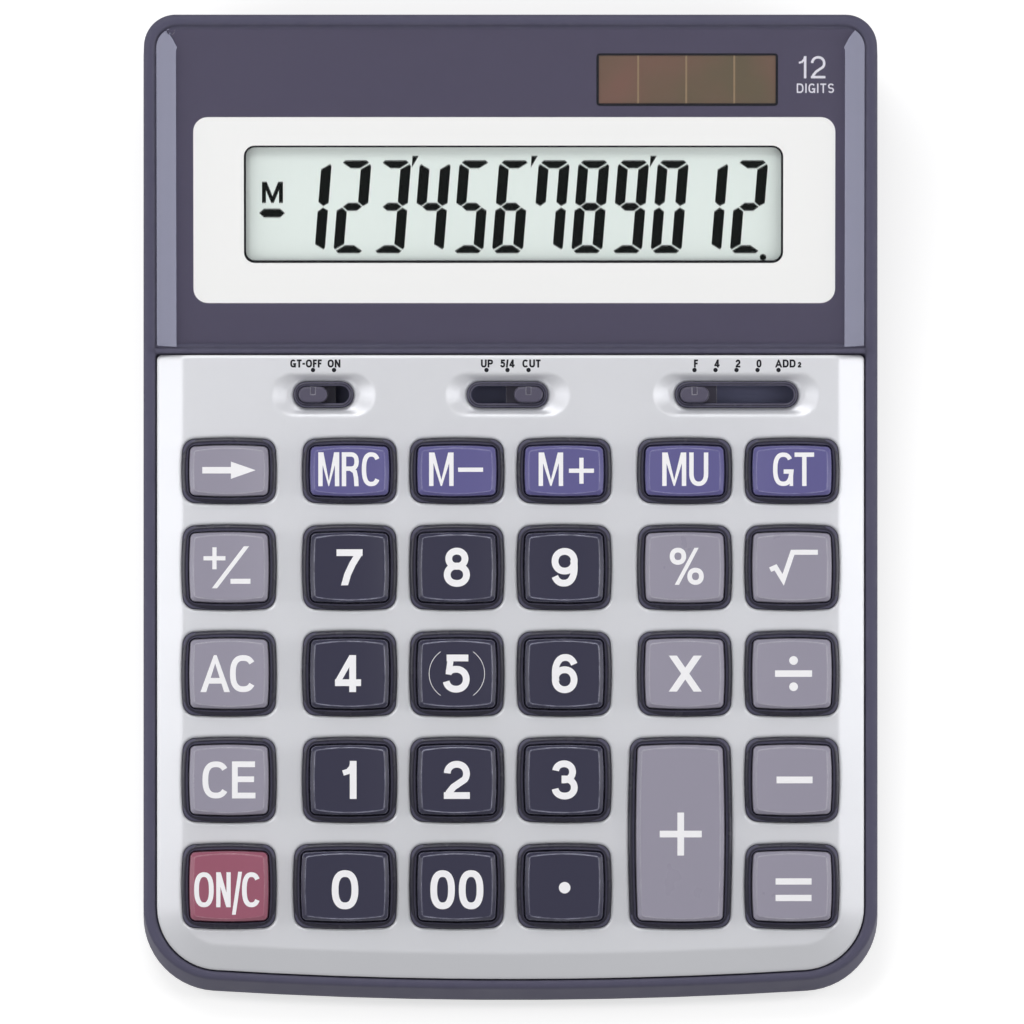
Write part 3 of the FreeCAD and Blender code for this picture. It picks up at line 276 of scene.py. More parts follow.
class Surface(Graph):
    """A material's graph, with its shader and the piece's own coordinates."""

    def __init__(self, tree: Tree) -> None:
        """Empties the tree and adds both.

        Args:
            tree: The material's tree.
        """
        super().__init__(tree)
        tree.nodes.clear()
        self.place = self.add("ShaderNodeTexCoord").outputs["Object"]
        self.shader = self.add("ShaderNodeBsdfPrincipled")

    def roughen(self, height: Output, strength: float, normal: Output | None = None) -> None:
        """Feeds a height to the shader's normal.

        Args:
            height: Height in millimetres.
            strength: How much of it shows, 0 to 1.
            normal: The normal that it works on, if not the surface's own.
        """
        bump = self.add("ShaderNodeBump", {"Strength": strength, "Distance": MM, "Height": height})
        if normal:
            self.feed(bump, {"Normal": normal})
        self.feed(self.shader, {"Normal": bump.outputs[0]})


class Socket(Enum):
    """The kinds of group socket that the trees use."""

    NUMBER = "NodeSocketFloat"
    COUNT = "NodeSocketInt"
    COLOUR = "NodeSocketColor"
    VECTOR = "NodeSocketVector"
    GEOMETRY = "NodeSocketGeometry"
    OBJECT = "NodeSocketObject"
    MATERIAL = "NodeSocketMaterial"


Sockets = dict[Socket, Sequence[str]]


def new_group(
    name: str, kind: str, inputs: Sockets, outputs: Sockets,
) -> tuple[Graph, Outputs, Node]:
    """Starts a node group with named sockets.

    Args:
        name: The group's name.
        kind: "ShaderNodeTree" or "GeometryNodeTree".
        inputs: The names of its inputs, by kind.
        outputs: The names of its outputs, by kind.

    Returns:
        The graph to draw in, what its inputs give, and its output node.
    """
    tree = bpy.data.node_groups.new(name, kind)
    for side, sockets in (("INPUT", inputs), ("OUTPUT", outputs)):
        for socket, labels in sockets.items():
            for label in labels:
                tree.interface.new_socket(name=label, in_out=side, socket_type=socket.value)
    graph = Graph(tree)
    return graph, graph.add("NodeGroupInput").outputs, graph.add("NodeGroupOutput")


class Effects:
    """The shader groups that several finishes use, each built once."""

    def __init__(self) -> None:
        """Builds every group."""
        self.grain = self._grain()
        self.edges = self._edges()
        self.handling = self._handling()
        self.brushing = self._brushing()

    @staticmethod
    def _grain() -> Tree:
        """The fine spark-eroded texture of moulded plastic and rubber.

        Returns:
            The shader group.
        """
        graph, given, result = new_group("moulded_grain", "ShaderNodeTree", {
            Socket.VECTOR: ["Coordinates"],
            Socket.NUMBER: ["Scale", "Depth", "Roughness", "Spread"],
        }, {Socket.NUMBER: ["Height", "Roughness"]})
        place, scale = given["Coordinates"], given["Scale"]
        fine = graph.noise(place, scale, 3.0, Roughness=0.65)
        broad = graph.noise(place, graph.math("MULTIPLY", scale, 0.04))
        cells = graph.add("ShaderNodeTexVoronoi", {
            "Vector": place, "Scale": graph.math("MULTIPLY", scale, 0.6),
        })
        both = graph.math("MULTIPLY_ADD", cells.outputs["Distance"], 0.5, fine)
        height = graph.math("MULTIPLY", both, given["Depth"])
        shift = graph.math("SUBTRACT", broad, 0.5)
        rough = graph.math("MULTIPLY_ADD", shift, given["Spread"], given["Roughness"])
        graph.feed(result, {"Height": height, "Roughness": rough})
        return graph.tree

    @staticmethod
    def _edges() -> Tree:
        """Lightened edges, found by how far a rounded normal turns from the true one: rubbed wear
        on most parts, and a painted highlight along the crests of the keys and knobs.

        Returns:
            The shader group.
        """
        graph, given, result = new_group("edge_wear_and_glint", "ShaderNodeTree", {
            Socket.VECTOR: ["Coordinates"], Socket.COLOUR: ["Colour", "Wear And Glint Colour"],
            Socket.NUMBER: ["Amount", "Width", "Scale"],
        }, {Socket.COLOUR: ["Colour"], Socket.VECTOR: ["Normal"]})
        shape = graph.add("ShaderNodeNewGeometry")
        soft = graph.add("ShaderNodeBevel", {"Radius": given["Width"]}, samples=4)
        agreement = graph.add("ShaderNodeVectorMath", {
            0: soft.outputs[0], 1: shape.outputs["True Normal"],
        }, operation="DOT_PRODUCT")
        ridge = graph.add("ShaderNodeMapRange", {
            "Value": agreement.outputs["Value"], "From Min": 0.98, "From Max": 0.94,
        })
        patches = graph.noise(given["Coordinates"], given["Scale"], 4.0)
        broken = graph.add("ShaderNodeMapRange", {
            "Value": patches, "From Min": 0.2, "From Max": 0.6,
        })
        # The lightened edges are rubbed wear on most parts and a painted highlight on the keys and
        # knobs.
        lightened = graph.math("MULTIPLY", ridge.outputs[0], broken.outputs[0])
        mask = graph.math("MULTIPLY", lightened, given["Amount"])
        colour = graph.blend(mask, given["Colour"], given["Wear And Glint Colour"])
        graph.feed(result, {"Colour": colour, "Normal": soft.outputs[0]})
        return graph.tree

    @staticmethod
    def _handling() -> Tree:
        """Slow changes of shade and gloss, as from handling and moulding.

        Returns:
            The shader group.
        """
        graph, given, result = new_group("handling", "ShaderNodeTree", {
            Socket.VECTOR: ["Coordinates"], Socket.COLOUR: ["Colour"],
            Socket.NUMBER: ["Scale", "Shade", "Gloss"],
        }, {Socket.COLOUR: ["Colour"], Socket.NUMBER: ["Gloss"]})
        cloud = graph.noise(
            given["Coordinates"], given["Scale"], 5.0, Roughness=0.55, Distortion=0.4,
        )
        centred = graph.math("SUBTRACT", cloud, 0.5)
        factor = graph.math("MULTIPLY_ADD", centred, given["Shade"], 1.0)
        scaled = {0: given["Colour"], "Scale": factor}
        tint = graph.add("ShaderNodeVectorMath", scaled, operation="SCALE")
        gloss = graph.math("MULTIPLY", centred, given["Gloss"])
        graph.feed(result, {"Colour": tint.outputs[0], "Gloss": gloss})
        return graph.tree

    @staticmethod
    def _brushing() -> Tree:
        """Very fine lines along X, as on brushed and coated sheet.

        Returns:
            The shader group.
        """
        graph, given, result = new_group("fine_brushing", "ShaderNodeTree", {
            Socket.VECTOR: ["Coordinates"],
            Socket.NUMBER: ["Lines", "Depth", "Roughness", "Spread"],
        }, {Socket.NUMBER: ["Height", "Roughness"]})
        long = graph.add("ShaderNodeMapping", {
            "Vector": given["Coordinates"], "Scale": (0.02, 1.0, 1.0),
        })
        lines = graph.noise(long.outputs[0], given["Lines"], 4.0, Roughness=0.7)
        speck = graph.noise(given["Coordinates"], given["Lines"], 1.0)
        both = graph.math("MULTIPLY_ADD", speck, 0.5, lines)
        height = graph.math("MULTIPLY", both, given["Depth"])
        centred = graph.math("SUBTRACT", lines, 0.5)
        rough = graph.math("MULTIPLY_ADD", centred, given["Spread"], given["Roughness"])
        graph.feed(result, {"Height": height, "Roughness": rough})
        return graph.tree


EFFECTS = Effects()


@dataclass(frozen=True)
class Finish:
    """A surface, with what every finish has."""

    name: str
    colour: Colour

    @cache
    def material(self) -> bpy.types.Material:
        """Builds the finish's material once and gives the same one afterwards.

        Returns:
            The material.
        """
        made = bpy.data.materials.new(self.name)
        made.use_nodes = True
        graph = Surface(made.node_tree)
        graph.add("ShaderNodeOutputMaterial", {"Surface": self.dress(graph)})
        return made

    def dress(self, graph: Surface) -> Output:
        """Sets the shader up and draws what feeds it.

        Args:
            graph: The material's graph.

        Returns:
            The output to show as the surface.
        """
        raise NotImplementedError


@dataclass(frozen=True)
class Moulded(Finish):
    """Injection-moulded plastic or rubber."""

    roughness: float = 0.45
    spread: float = 0.12
    grain_size: float = 0.22
    grain_depth: float = 0.006
    # The edge share and colour lighten rounded edges: rubbed wear, and on the keys and knobs a
    # painted highlight.
    wear_and_glint: float = 0.25
    rounding: float = 0.25
    wear_and_glint_colour: Colour = srgb(190, 188, 200)
    shade: float = 0.06
    specular: float = 0.5
    cloud_scale: float = 45.0
    patch_scale: float = 400.0

    def dress(self, graph: Surface) -> Output:
        """Draws grain, handling marks and lightened edges, which are rubbed wear on most parts and
        painted highlights on the keys and knobs.

        Args:
            graph: The material's graph.

        Returns:
            The output to show as the surface.
        """
        grain = graph.group(EFFECTS.grain, {
            "Coordinates": graph.place, "Scale": 1 / (self.grain_size * MM),
            "Depth": self.grain_depth, "Roughness": self.roughness, "Spread": self.spread,
        })
        cloud = graph.group(EFFECTS.handling, {
            "Coordinates": graph.place, "Scale": self.cloud_scale, "Colour": self.colour,
            "Shade": self.shade, "Gloss": self.spread,
        })
        edge = graph.group(EFFECTS.edges, {
            "Colour": cloud.outputs["Colour"], "Wear And Glint Colour": self.wear_and_glint_colour,
            "Amount": self.wear_and_glint, "Width": self.rounding * MM, "Scale": self.patch_scale,
            "Coordinates": graph.place,
        })
        graph.feed(graph.shader, {
            "Base Color": edge.outputs["Colour"],
            "Roughness": graph.math("ADD", grain.outputs["Roughness"], cloud.outputs["Gloss"]),
            "Specular IOR Level": self.specular,
        })
        graph.roughen(grain.outputs["Height"], 1.0, edge.outputs["Normal"])
        return graph.shader.outputs[0]


@dataclass(frozen=True)
class Sheet(Finish):
    """Coated, plated or bare metal with fine lines."""

    metallic: float = 1.0
    roughness: float = 0.35
    spread: float = 0.15
    line_pitch: float = 0.12
    line_depth: float = 0.002
    shade: float = 0.03
    rounding: float = 0.2
    cloud_scale: float = 30.0

    def dress(self, graph: Surface) -> Output:
        """Draws the lines and slow changes of shade.

        Args:
            graph: The material's graph.

        Returns:
            The output to show as the surface.
        """
        lines = graph.group(EFFECTS.brushing, {
            "Coordinates": graph.place, "Lines": 1 / (self.line_pitch * MM),
            "Depth": self.line_depth, "Roughness": self.roughness, "Spread": self.spread,
        })
        cloud = graph.group(EFFECTS.handling, {
            "Coordinates": graph.place, "Scale": self.cloud_scale, "Colour": self.colour,
            "Shade": self.shade, "Gloss": self.spread / 2,
        })
        graph.feed(graph.shader, {
            "Base Color": cloud.outputs["Colour"],
            "Roughness": graph.math("ADD", lines.outputs["Roughness"], cloud.outputs["Gloss"]),
            "Metallic": self.metallic,
        })
        soft = graph.add("ShaderNodeBevel", {"Radius": self.rounding * MM}, samples=8)
        graph.roughen(lines.outputs["Height"], 1.0, soft.outputs[0])
        return graph.shader.outputs[0]


@dataclass(frozen=True)
class Ink(Finish):
    """A printed or painted layer, slightly uneven."""

    roughness: float = 0.4
    unevenness: float = 0.05
    specular: float = 0.5
    alpha: float = 1.0
    cloud_scale: float = 350.0
    gloss_change: float = 0.2

    def dress(self, graph: Surface) -> Output:
        """Draws the layer's unevenness.

        Args:
            graph: The material's graph.

        Returns:
            The output to show as the surface.
        """
        cloud = graph.group(EFFECTS.handling, {
            "Coordinates": graph.place, "Scale": self.cloud_scale, "Colour": self.colour,
            "Shade": self.unevenness, "Gloss": self.gloss_change,
        })
        graph.feed(graph.shader, {
            "Base Color": cloud.outputs["Colour"],
            "Roughness": graph.math("ADD", cloud.outputs["Gloss"], self.roughness),
            "Specular IOR Level": self.specular, "Alpha": self.alpha,
        })
        return graph.shader.outputs[0]


@dataclass(frozen=True)
class ClearWindow(Finish):
    """Clear moulded acrylic that lets the lamps light what lies behind it."""

    roughness: float = 0.02
    ior: float = 1.49
    clearness: float = 0.85
    wave_scale: float = 60.0
    wave_height: float = 0.02
    wave_share: float = 0.5

    def dress(self, graph: Surface) -> Output:
        """Draws faint moulding waves and passes shadow rays straight through.

        Args:
            graph: The material's graph.

        Returns:
            The output to show as the surface.
        """
        waves = graph.noise(graph.place, self.wave_scale, 1.0)
        height = graph.math("MULTIPLY", waves, self.wave_height)
        graph.roughen(height, self.wave_share)
        graph.feed(graph.shader, {
            "Base Color": self.colour, "Roughness": self.roughness, "IOR": self.ior,
            "Transmission Weight": 1.0,
        })
        clear = graph.add("ShaderNodeBsdfTransparent")
        rays = graph.add("ShaderNodeLightPath")
        shadow, diffuse = rays.outputs["Is Shadow Ray"], rays.outputs["Is Diffuse Ray"]
        lighting = graph.math("MAXIMUM", shadow, diffuse)
        mixed = graph.add("ShaderNodeMixShader", {
            0: graph.math("MAXIMUM", lighting, self.clearness), 1: graph.shader.outputs[0],
            2: clear.outputs[0],
        })
        return mixed.outputs[0]


@dataclass(frozen=True)
class DisplayGlass(Finish):
    """The display's reflector, seen through its front glass."""

    deep_colour: Colour = srgb(230, 240, 236)
    sparkle_scale: float = 5200.0
    sparkle_share: float = 0.35
    sparkle_height: float = 0.002
    sparkle_strength: float = 0.6
    tone_scale: float = 18.0
    tone_change: float = 0.6
    roughness: float = 0.5
    coat: float = 0.6
    coat_roughness: float = 0.03

    def dress(self, graph: Surface) -> Output:
        """Draws the reflector's fine sparkle and its slow change of tone.

        Args:
            graph: The material's graph.

        Returns:
            The output to show as the surface.
        """
        sparkle = graph.noise(graph.place, self.sparkle_scale)
        slow = graph.noise(graph.place, self.tone_scale, 1.0)
        mix = graph.math("MULTIPLY_ADD", sparkle, self.sparkle_share, slow)
        factor = graph.math("MULTIPLY", mix, self.tone_change)
        height = graph.math("MULTIPLY", sparkle, self.sparkle_height)
        graph.roughen(height, self.sparkle_strength)
        graph.feed(graph.shader, {
            "Base Color": graph.blend(factor, self.colour, self.deep_colour),
            "Roughness": self.roughness, "Coat Weight": self.coat,
            "Coat Roughness": self.coat_roughness,
        })
        return graph.shader.outputs[0]


@dataclass(frozen=True)
class SolarFilm(Finish):
    """Brown silicon film behind glass, with a warm bloom."""

    bloom: Colour = srgb(120, 84, 72)
    bloom_scale: float = 55.0
    bloom_range: Point = (0.35, 0.7)
    grain_scale: float = 3000.0
    grain_share: float = 0.12
    roughness: float = 0.35
    coat_roughness: float = 0.04

    def dress(self, graph: Surface) -> Output:
        """Draws the bloom and the film's fine grain.

        Args:
            graph: The material's graph.

        Returns:
            The output to show as the surface.
        """
        slow = graph.noise(graph.place, self.bloom_scale)
        least, most = self.bloom_range
        warm = graph.add("ShaderNodeMapRange", {
            "Value": slow, "From Min": least, "From Max": most,
        })
        fine = graph.noise(graph.place, self.grain_scale)
        toned = graph.blend(warm.outputs[0], self.colour, self.bloom)
        depth = graph.math("MULTIPLY", fine, self.grain_share)
        graph.feed(graph.shader, {
            "Base Color": graph.blend(depth, toned, (0, 0, 0, 1)), "Roughness": self.roughness,
            "Coat Weight": 1.0, "Coat Roughness": self.coat_roughness,
        })
        return graph.shader.outputs[0]


@dataclass(frozen=True)
class BoardLaminate(Finish):
    """Green solder resist over copper tracks."""

    track: Colour = srgb(96, 150, 74)
    track_pitch: float = 2.54
    track_gap: float = 14.0
    track_width: float = 0.35
    track_height: float = 0.03
    weave_scale: float = 1400.0
    weave_share: float = 0.15
    roughness: float = 0.3

    def dress(self, graph: Surface) -> Output:
        """Draws the tracks as a stepped pattern under the resist.

        Args:
            graph: The material's graph.

        Returns:
            The output to show as the surface.
        """
        tracks = graph.add("ShaderNodeTexBrick", {
            "Vector": graph.place, "Scale": 1.0, "Color1": (0, 0, 0, 1), "Color2": (0, 0, 0, 1),
            "Mortar": (1, 1, 1, 1), "Mortar Size": self.track_width * MM,
            "Brick Width": self.track_gap * MM, "Row Height": self.track_pitch * MM,
        })
        weave = graph.noise(graph.place, self.weave_scale)
        line = tracks.outputs["Fac"]
        cover = graph.math("MULTIPLY_ADD", weave, self.weave_share, line)
        graph.feed(graph.shader, {
            "Base Color": graph.blend(cover, self.colour, self.track),
            "Roughness": self.roughness,
        })
        height = graph.math("MULTIPLY", line, self.track_height)
        graph.roughen(height, 1.0)
        return graph.shader.outputs[0]


@dataclass(frozen=True)
class Floor(Finish):
    """The studio floor: white behind the object, still taking its shadow."""

    lift: float = 0.6
    mottle: Colour = (0.8, 0.8, 0.8, 1.0)
    mottle_scale: float = 3.0
    mottle_share: float = 0.02
    roughness: float = 0.9

    def dress(self, graph: Surface) -> Output:
        """Adds a little light for the rays that look at the floor.

        Args:
            graph: The material's graph.

        Returns:
            The output to show as the surface.
        """
        clouds = graph.noise(graph.place, self.mottle_scale)
        share = graph.math("MULTIPLY", clouds, self.mottle_share)
        graph.feed(graph.shader, {
            "Base Color": graph.blend(share, self.colour, self.mottle),
            "Roughness": self.roughness, "Specular IOR Level": 0.0,
        })
        rays = graph.add("ShaderNodeLightPath")
        seen = graph.math("ADD", rays.outputs["Is Camera Ray"], rays.outputs["Is Glossy Ray"])
        seen = graph.math("ADD", seen, rays.outputs["Is Transmission Ray"])
        glow = graph.add("ShaderNodeEmission", {
            "Color": (1, 1, 1, 1), "Strength": graph.math("MULTIPLY", seen, self.lift),
        })
        both = graph.add("ShaderNodeAddShader", {0: graph.shader.outputs[0], 1: glow.outputs[0]})
        return both.outputs[0]


class Tone(Enum):
    """The four key colours."""

    DIGIT = "digit_key"
    FUNCTION = "function_key"
    MEMORY = "memory_key"
    CLEAR = "clear_key"


CASE = Moulded(
    "case_plastic", srgb(84, 82, 103), roughness=0.55, wear_and_glint=0.08, rounding=1.2, specular=0.2,
)
BASE = Moulded(
    "base_plastic", srgb(79, 77, 97), roughness=0.6, grain_depth=0.012, wear_and_glint=0.1, specular=0.2,
)
PLATE = Sheet("face_metal", srgb(226, 227, 232), metallic=0.45, roughness=0.4, rounding=1.1)
WINDOW = ClearWindow("lens_clear", srgb(250, 250, 252))
# Painted reflection: a pale, partly clear ink on the window's side facets stands in for the side
# lamps' glint there.
SIDE_SHEEN_INK = Ink("lens_side_painted_sheen", srgb(205, 207, 232), roughness=0.5, unevenness=0.02, alpha=0.27)
FIELD = Ink("mask_print", srgb(71, 66, 90), roughness=0.5, unevenness=0.12)
BORDER = Ink("border_print", srgb(252, 252, 251), roughness=0.5, unevenness=0.02)
REFLECTOR = DisplayGlass("lcd_glass", srgb(243, 253, 248))
SEGMENT = Ink("display_segment", srgb(12, 16, 15), roughness=0.6, specular=0.05)
# Painted shadow: the near-black ring round the display window stands in for the shadow along the
# window's edge.
WINDOW_EDGE_SHADOW = Moulded("display_gasket", srgb(18, 18, 24), roughness=0.6, wear_and_glint=0.0, specular=0.1)
COLLAR = Moulded("collar_plastic", srgb(42, 40, 56), roughness=0.26, grain_depth=0.001, wear_and_glint=0.2)
LABEL = Ink("label_ink", srgb(26, 26, 34), roughness=0.5, specular=0.2)
NOTE = Ink("note_ink", srgb(228, 226, 236), roughness=0.45)
LEGEND = Ink("legend_ink", srgb(248, 247, 250), roughness=0.35, unevenness=0.02)
SOLAR = SolarFilm("solar_glass", srgb(98, 84, 62))
SOLAR_LINE = Ink("solar_line", srgb(140, 118, 92), roughness=0.4)
HOLDER = Moulded("holder_plastic", srgb(214, 214, 208), roughness=0.55)
RIBBON = Ink("ribbon_film", srgb(190, 170, 120), roughness=0.5)
BOARD = BoardLaminate("board_laminate", srgb(58, 104, 46))
RESIN = Moulded("chip_resin", srgb(22, 22, 24), roughness=0.3, grain_depth=0.02)
COMPONENT = Moulded("component_body", srgb(40, 42, 60), roughness=0.35)
KEYPAD = Moulded("keypad_rubber", srgb(168, 168, 172), roughness=0.7)
# Painted highlight: the strong edge share lightens the knob's crest as a bright glint line.
KNOB = Moulded("knob_plastic", srgb(79, 75, 95), roughness=0.4, wear_and_glint=0.8)
# Painted light: the track colour is lightened far past carbon's own to offset the shade deep in the
# switch slots.
TRACK_WITH_PAINTED_LIGHT = Ink("track_painted_fill", srgb(122, 124, 156), roughness=0.5, specular=0.2)
STEEL = Sheet("contact_metal", srgb(205, 200, 186), roughness=0.28)
SCREW = Sheet("screw_steel", srgb(186, 184, 180), roughness=0.32)
FOOT = Moulded("foot_rubber", srgb(44, 44, 46), roughness=0.8, grain_depth=0.02)
CELL = Sheet("cell_jacket", srgb(60, 72, 92), metallic=0.2, roughness=0.3)
RED_LEAD = Moulded("wire_red", srgb(178, 40, 38), roughness=0.4)
GREY_LEAD = Moulded("wire_grey", srgb(60, 60, 64), roughness=0.4)
FLOOR = Floor("studio_floor", (0.6, 0.6, 0.6, 1.0))
# Painted highlight: the light edge colour and strong edge share on every key paint the bright
# glints along the keys' crests.
KEY_FINISHES = {
    tone: Moulded(
        tone.value, colour, roughness=rough, spread=0.02, grain_depth=0.001, wear_and_glint=0.8,
        wear_and_glint_colour=edge_glint, shade=0.02, rounding=0.35, specular=0.4,
    )
    for tone, colour, edge_glint, rough in (
        (Tone.DIGIT, srgb(55, 54, 74), srgb(212, 213, 238), 0.22),
        (Tone.FUNCTION, srgb(153, 149, 165), srgb(212, 209, 216), 0.28),
        (Tone.MEMORY, srgb(98, 94, 147), srgb(176, 174, 214), 0.26),
        (Tone.CLEAR, srgb(155, 90, 110), srgb(212, 164, 176), 0.26),
    )
}


@dataclass(frozen=True)
class Dressing:
    """What goes with a finished piece besides its shape; its slot is carried along but no code sets
    it.
    """

    finish: Finish
    slot: str
    body: str = HOUSING
    nodes: tuple[str, ...] = ()
    crease: float = 35.0


def put(name: str, data: bpy.types.ID) -> bpy.types.Object:
    """Makes an object that shows some data and links it to the scene.

    Args:
        name: Its name.
        data: The data.

    Returns:
        The object.
    """
    made = bpy.data.objects.new(name, data)
    bpy.context.scene.collection.objects.link(made)
    return made


def settle(name: str, mesh: bmesh.types.BMesh) -> bpy.types.Mesh:
    """Turns a mesh that is being built, which is used up, into a finished one.

    Args:
        name: The mesh's name.
        mesh: The mesh that is being built.

    Returns:
        The finished mesh.
    """
    data = bpy.data.meshes.new(name)
    mesh.to_mesh(data)
    mesh.free()
    return data


def publish(name: str, data: bpy.types.Mesh, dressing: Dressing) -> bpy.types.Object:
    """Shades a finished mesh, gives it its finish and ties it to the frame.

    Args:
        name: The piece's name.
        data: Its mesh, in the scene's metres.
        dressing: Its finish, slot, body and the CAD nodes that it stands for.

    Returns:
        The piece's object.
    """
    data.materials.clear()
    data.materials.append(dressing.finish.material())
    data.shade_smooth()
    data.set_sharp_from_angle(angle=math.radians(dressing.crease))
    piece = put(name, data)
    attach(piece, dressing.body)
    if dressing.nodes:
        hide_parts(*dressing.nodes)
    log.info("%s: %d faces on %s", name, len(data.polygons), dressing.body)
    return piece


class Shape:
    """A mesh being built in a slope's millimetres."""

    def __init__(self) -> None:
        """Starts empty."""
        self.mesh = bmesh.new()

    def loft(self, rings: Sequence[Ring], ends: bool = True, wrap: bool = False) -> None:
        """Joins rings of points that have equal counts.

        Args:
            rings: The rings in order.
            ends: Whether the first and last ring are closed by a fan.
            wrap: Whether the last ring joins the first, as in a frame.
        """
        rows = [[self.mesh.verts.new(point) for point in ring] for ring in rings]
        pairs = list(zip(rows, rows[1:]))
        if wrap:
            pairs.append((rows[-1], rows[0]))
        for low, high in pairs:
            for i in range(len(low)):
                j = (i + 1) % len(low)
                self.mesh.faces.new((low[i], low[j], high[j], high[i]))
        if ends and not wrap:
            for row in (rows[0], rows[-1]):
                middle = sum((v.co for v in row), Vector()) / len(row)
                hub = self.mesh.verts.new(middle)
                for i in range(len(row)):
                    self.mesh.faces.new((row[i], row[(i + 1) % len(row)], hub))

    def frame(
        self, outer: Outline, inner: Outline, foot: float, top: float, inner_top: float,
    ) -> None:
        """Adds a closed frame between two rounded outlines.

        Args:
            outer: The outer outline's width, length, corner radius and middle.
            inner: The same of the inner one.
            foot: The frame's lower level.
            top: Its upper level along the outer outline.
            inner_top: Its upper level along the inner one.
        """
        self.loft([
            rounded_ring(*outer, foot), rounded_ring(*outer, top),
            rounded_ring(*inner, inner_top), rounded_ring(*inner, foot),
        ], wrap=True)

    def prism(self, outline: Sequence[Point], low: float, high: float) -> None:
        """Adds a straight-sided solid over an outline.

        Args:
            outline: The outline's points in order.
            low: Its lower level.
            high: Its upper level.
        """
        bottom = [self.mesh.verts.new((x, y, low)) for x, y in outline]
        top = [self.mesh.verts.new((x, y, high)) for x, y in outline]
        self.mesh.faces.new(bottom)
        self.mesh.faces.new(top)
        for i in range(len(bottom)):
            j = (i + 1) % len(bottom)
            self.mesh.faces.new((bottom[i], bottom[j], top[j], top[i]))

    def spin(self, profile: Sequence[Point], steps: int = 40) -> None:
        """Turns a profile of radius and level pairs round the Z axis.

        Args:
            profile: The pairs, from one end to the other.
            steps: How many sides it gets.
        """
        turns = [2 * math.pi * i / steps for i in range(steps)]
        self.loft([
            [Vector((radius * math.cos(t), radius * math.sin(t), level)) for t in turns]
            for radius, level in profile
        ])

    def slice(self, place: Vector, normal: Vector, clear: bool = False) -> None:
        """Cuts every face by a plane.

        Args:
            place: A point on the plane.
            normal: The plane's direction.
            clear: Whether what lies on the normal's side goes, and the cut is closed.
        """
        everything = self.mesh.verts[:] + self.mesh.edges[:] + self.mesh.faces[:]
        bmesh.ops.bisect_plane(
            self.mesh, geom=everything, dist=CLOSE, plane_co=place, plane_no=normal,
            clear_outer=clear,
        )
        if clear:
            open_edges = [edge for edge in self.mesh.edges if edge.is_boundary]
            bmesh.ops.holes_fill(self.mesh, edges=open_edges)

    def absorb(self, other: "Shape") -> None:
        """Takes over everything in another shape, which is used up.

        Args:
            other: The other shape.
        """
        between = settle("between", other.mesh)
        self.mesh.from_mesh(between)
        bpy.data.meshes.remove(between)

    def bend(self, rule: Callable[[Vector], Vector]) -> None:
        """Moves every point by a rule."""
        for vertex in self.mesh.verts:
            vertex.co = rule(vertex.co)

    def finish(self, name: str, slope: Slope) -> bpy.types.Mesh:
        """Turns the shape outwards, puts it on its slope and gives its mesh.

        Args:
            name: The mesh's name.
            slope: The slope whose millimetres it is in.

        Returns:
            The mesh in the scene's metres.
        """
        bmesh.ops.recalc_face_normals(self.mesh, faces=self.mesh.faces)
        self.mesh.transform(slope.matrix)
        return settle(name, self.mesh)

    def publish(self, name: str, slope: Slope, dressing: Dressing) -> bpy.types.Object:
        """Finishes the shape and publishes it as a piece."""
        return publish(name, self.finish(name, slope), dressing)


def merged(node: str) -> bmesh.types.BMesh:
    """Copies a CAD node's mesh and merges its doubled corners.

    Args:
        node: The CAD node's name.

    Returns:
        The copy.
    """
    copy = bmesh.new()
    copy.from_mesh(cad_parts[node].data)
    bmesh.ops.remove_doubles(copy, verts=copy.verts, dist=CLOSE)
    return copy


def dress_node(node: str, finish: Finish) -> None:
    """Gives a CAD node that stays as it is a better material.

    Args:
        node: The CAD node's name.
        finish: Its finish.
    """
    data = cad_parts[node].data
    data.materials.clear()
    data.materials.append(finish.material())
    log.info("%s: kept from the frame", node)


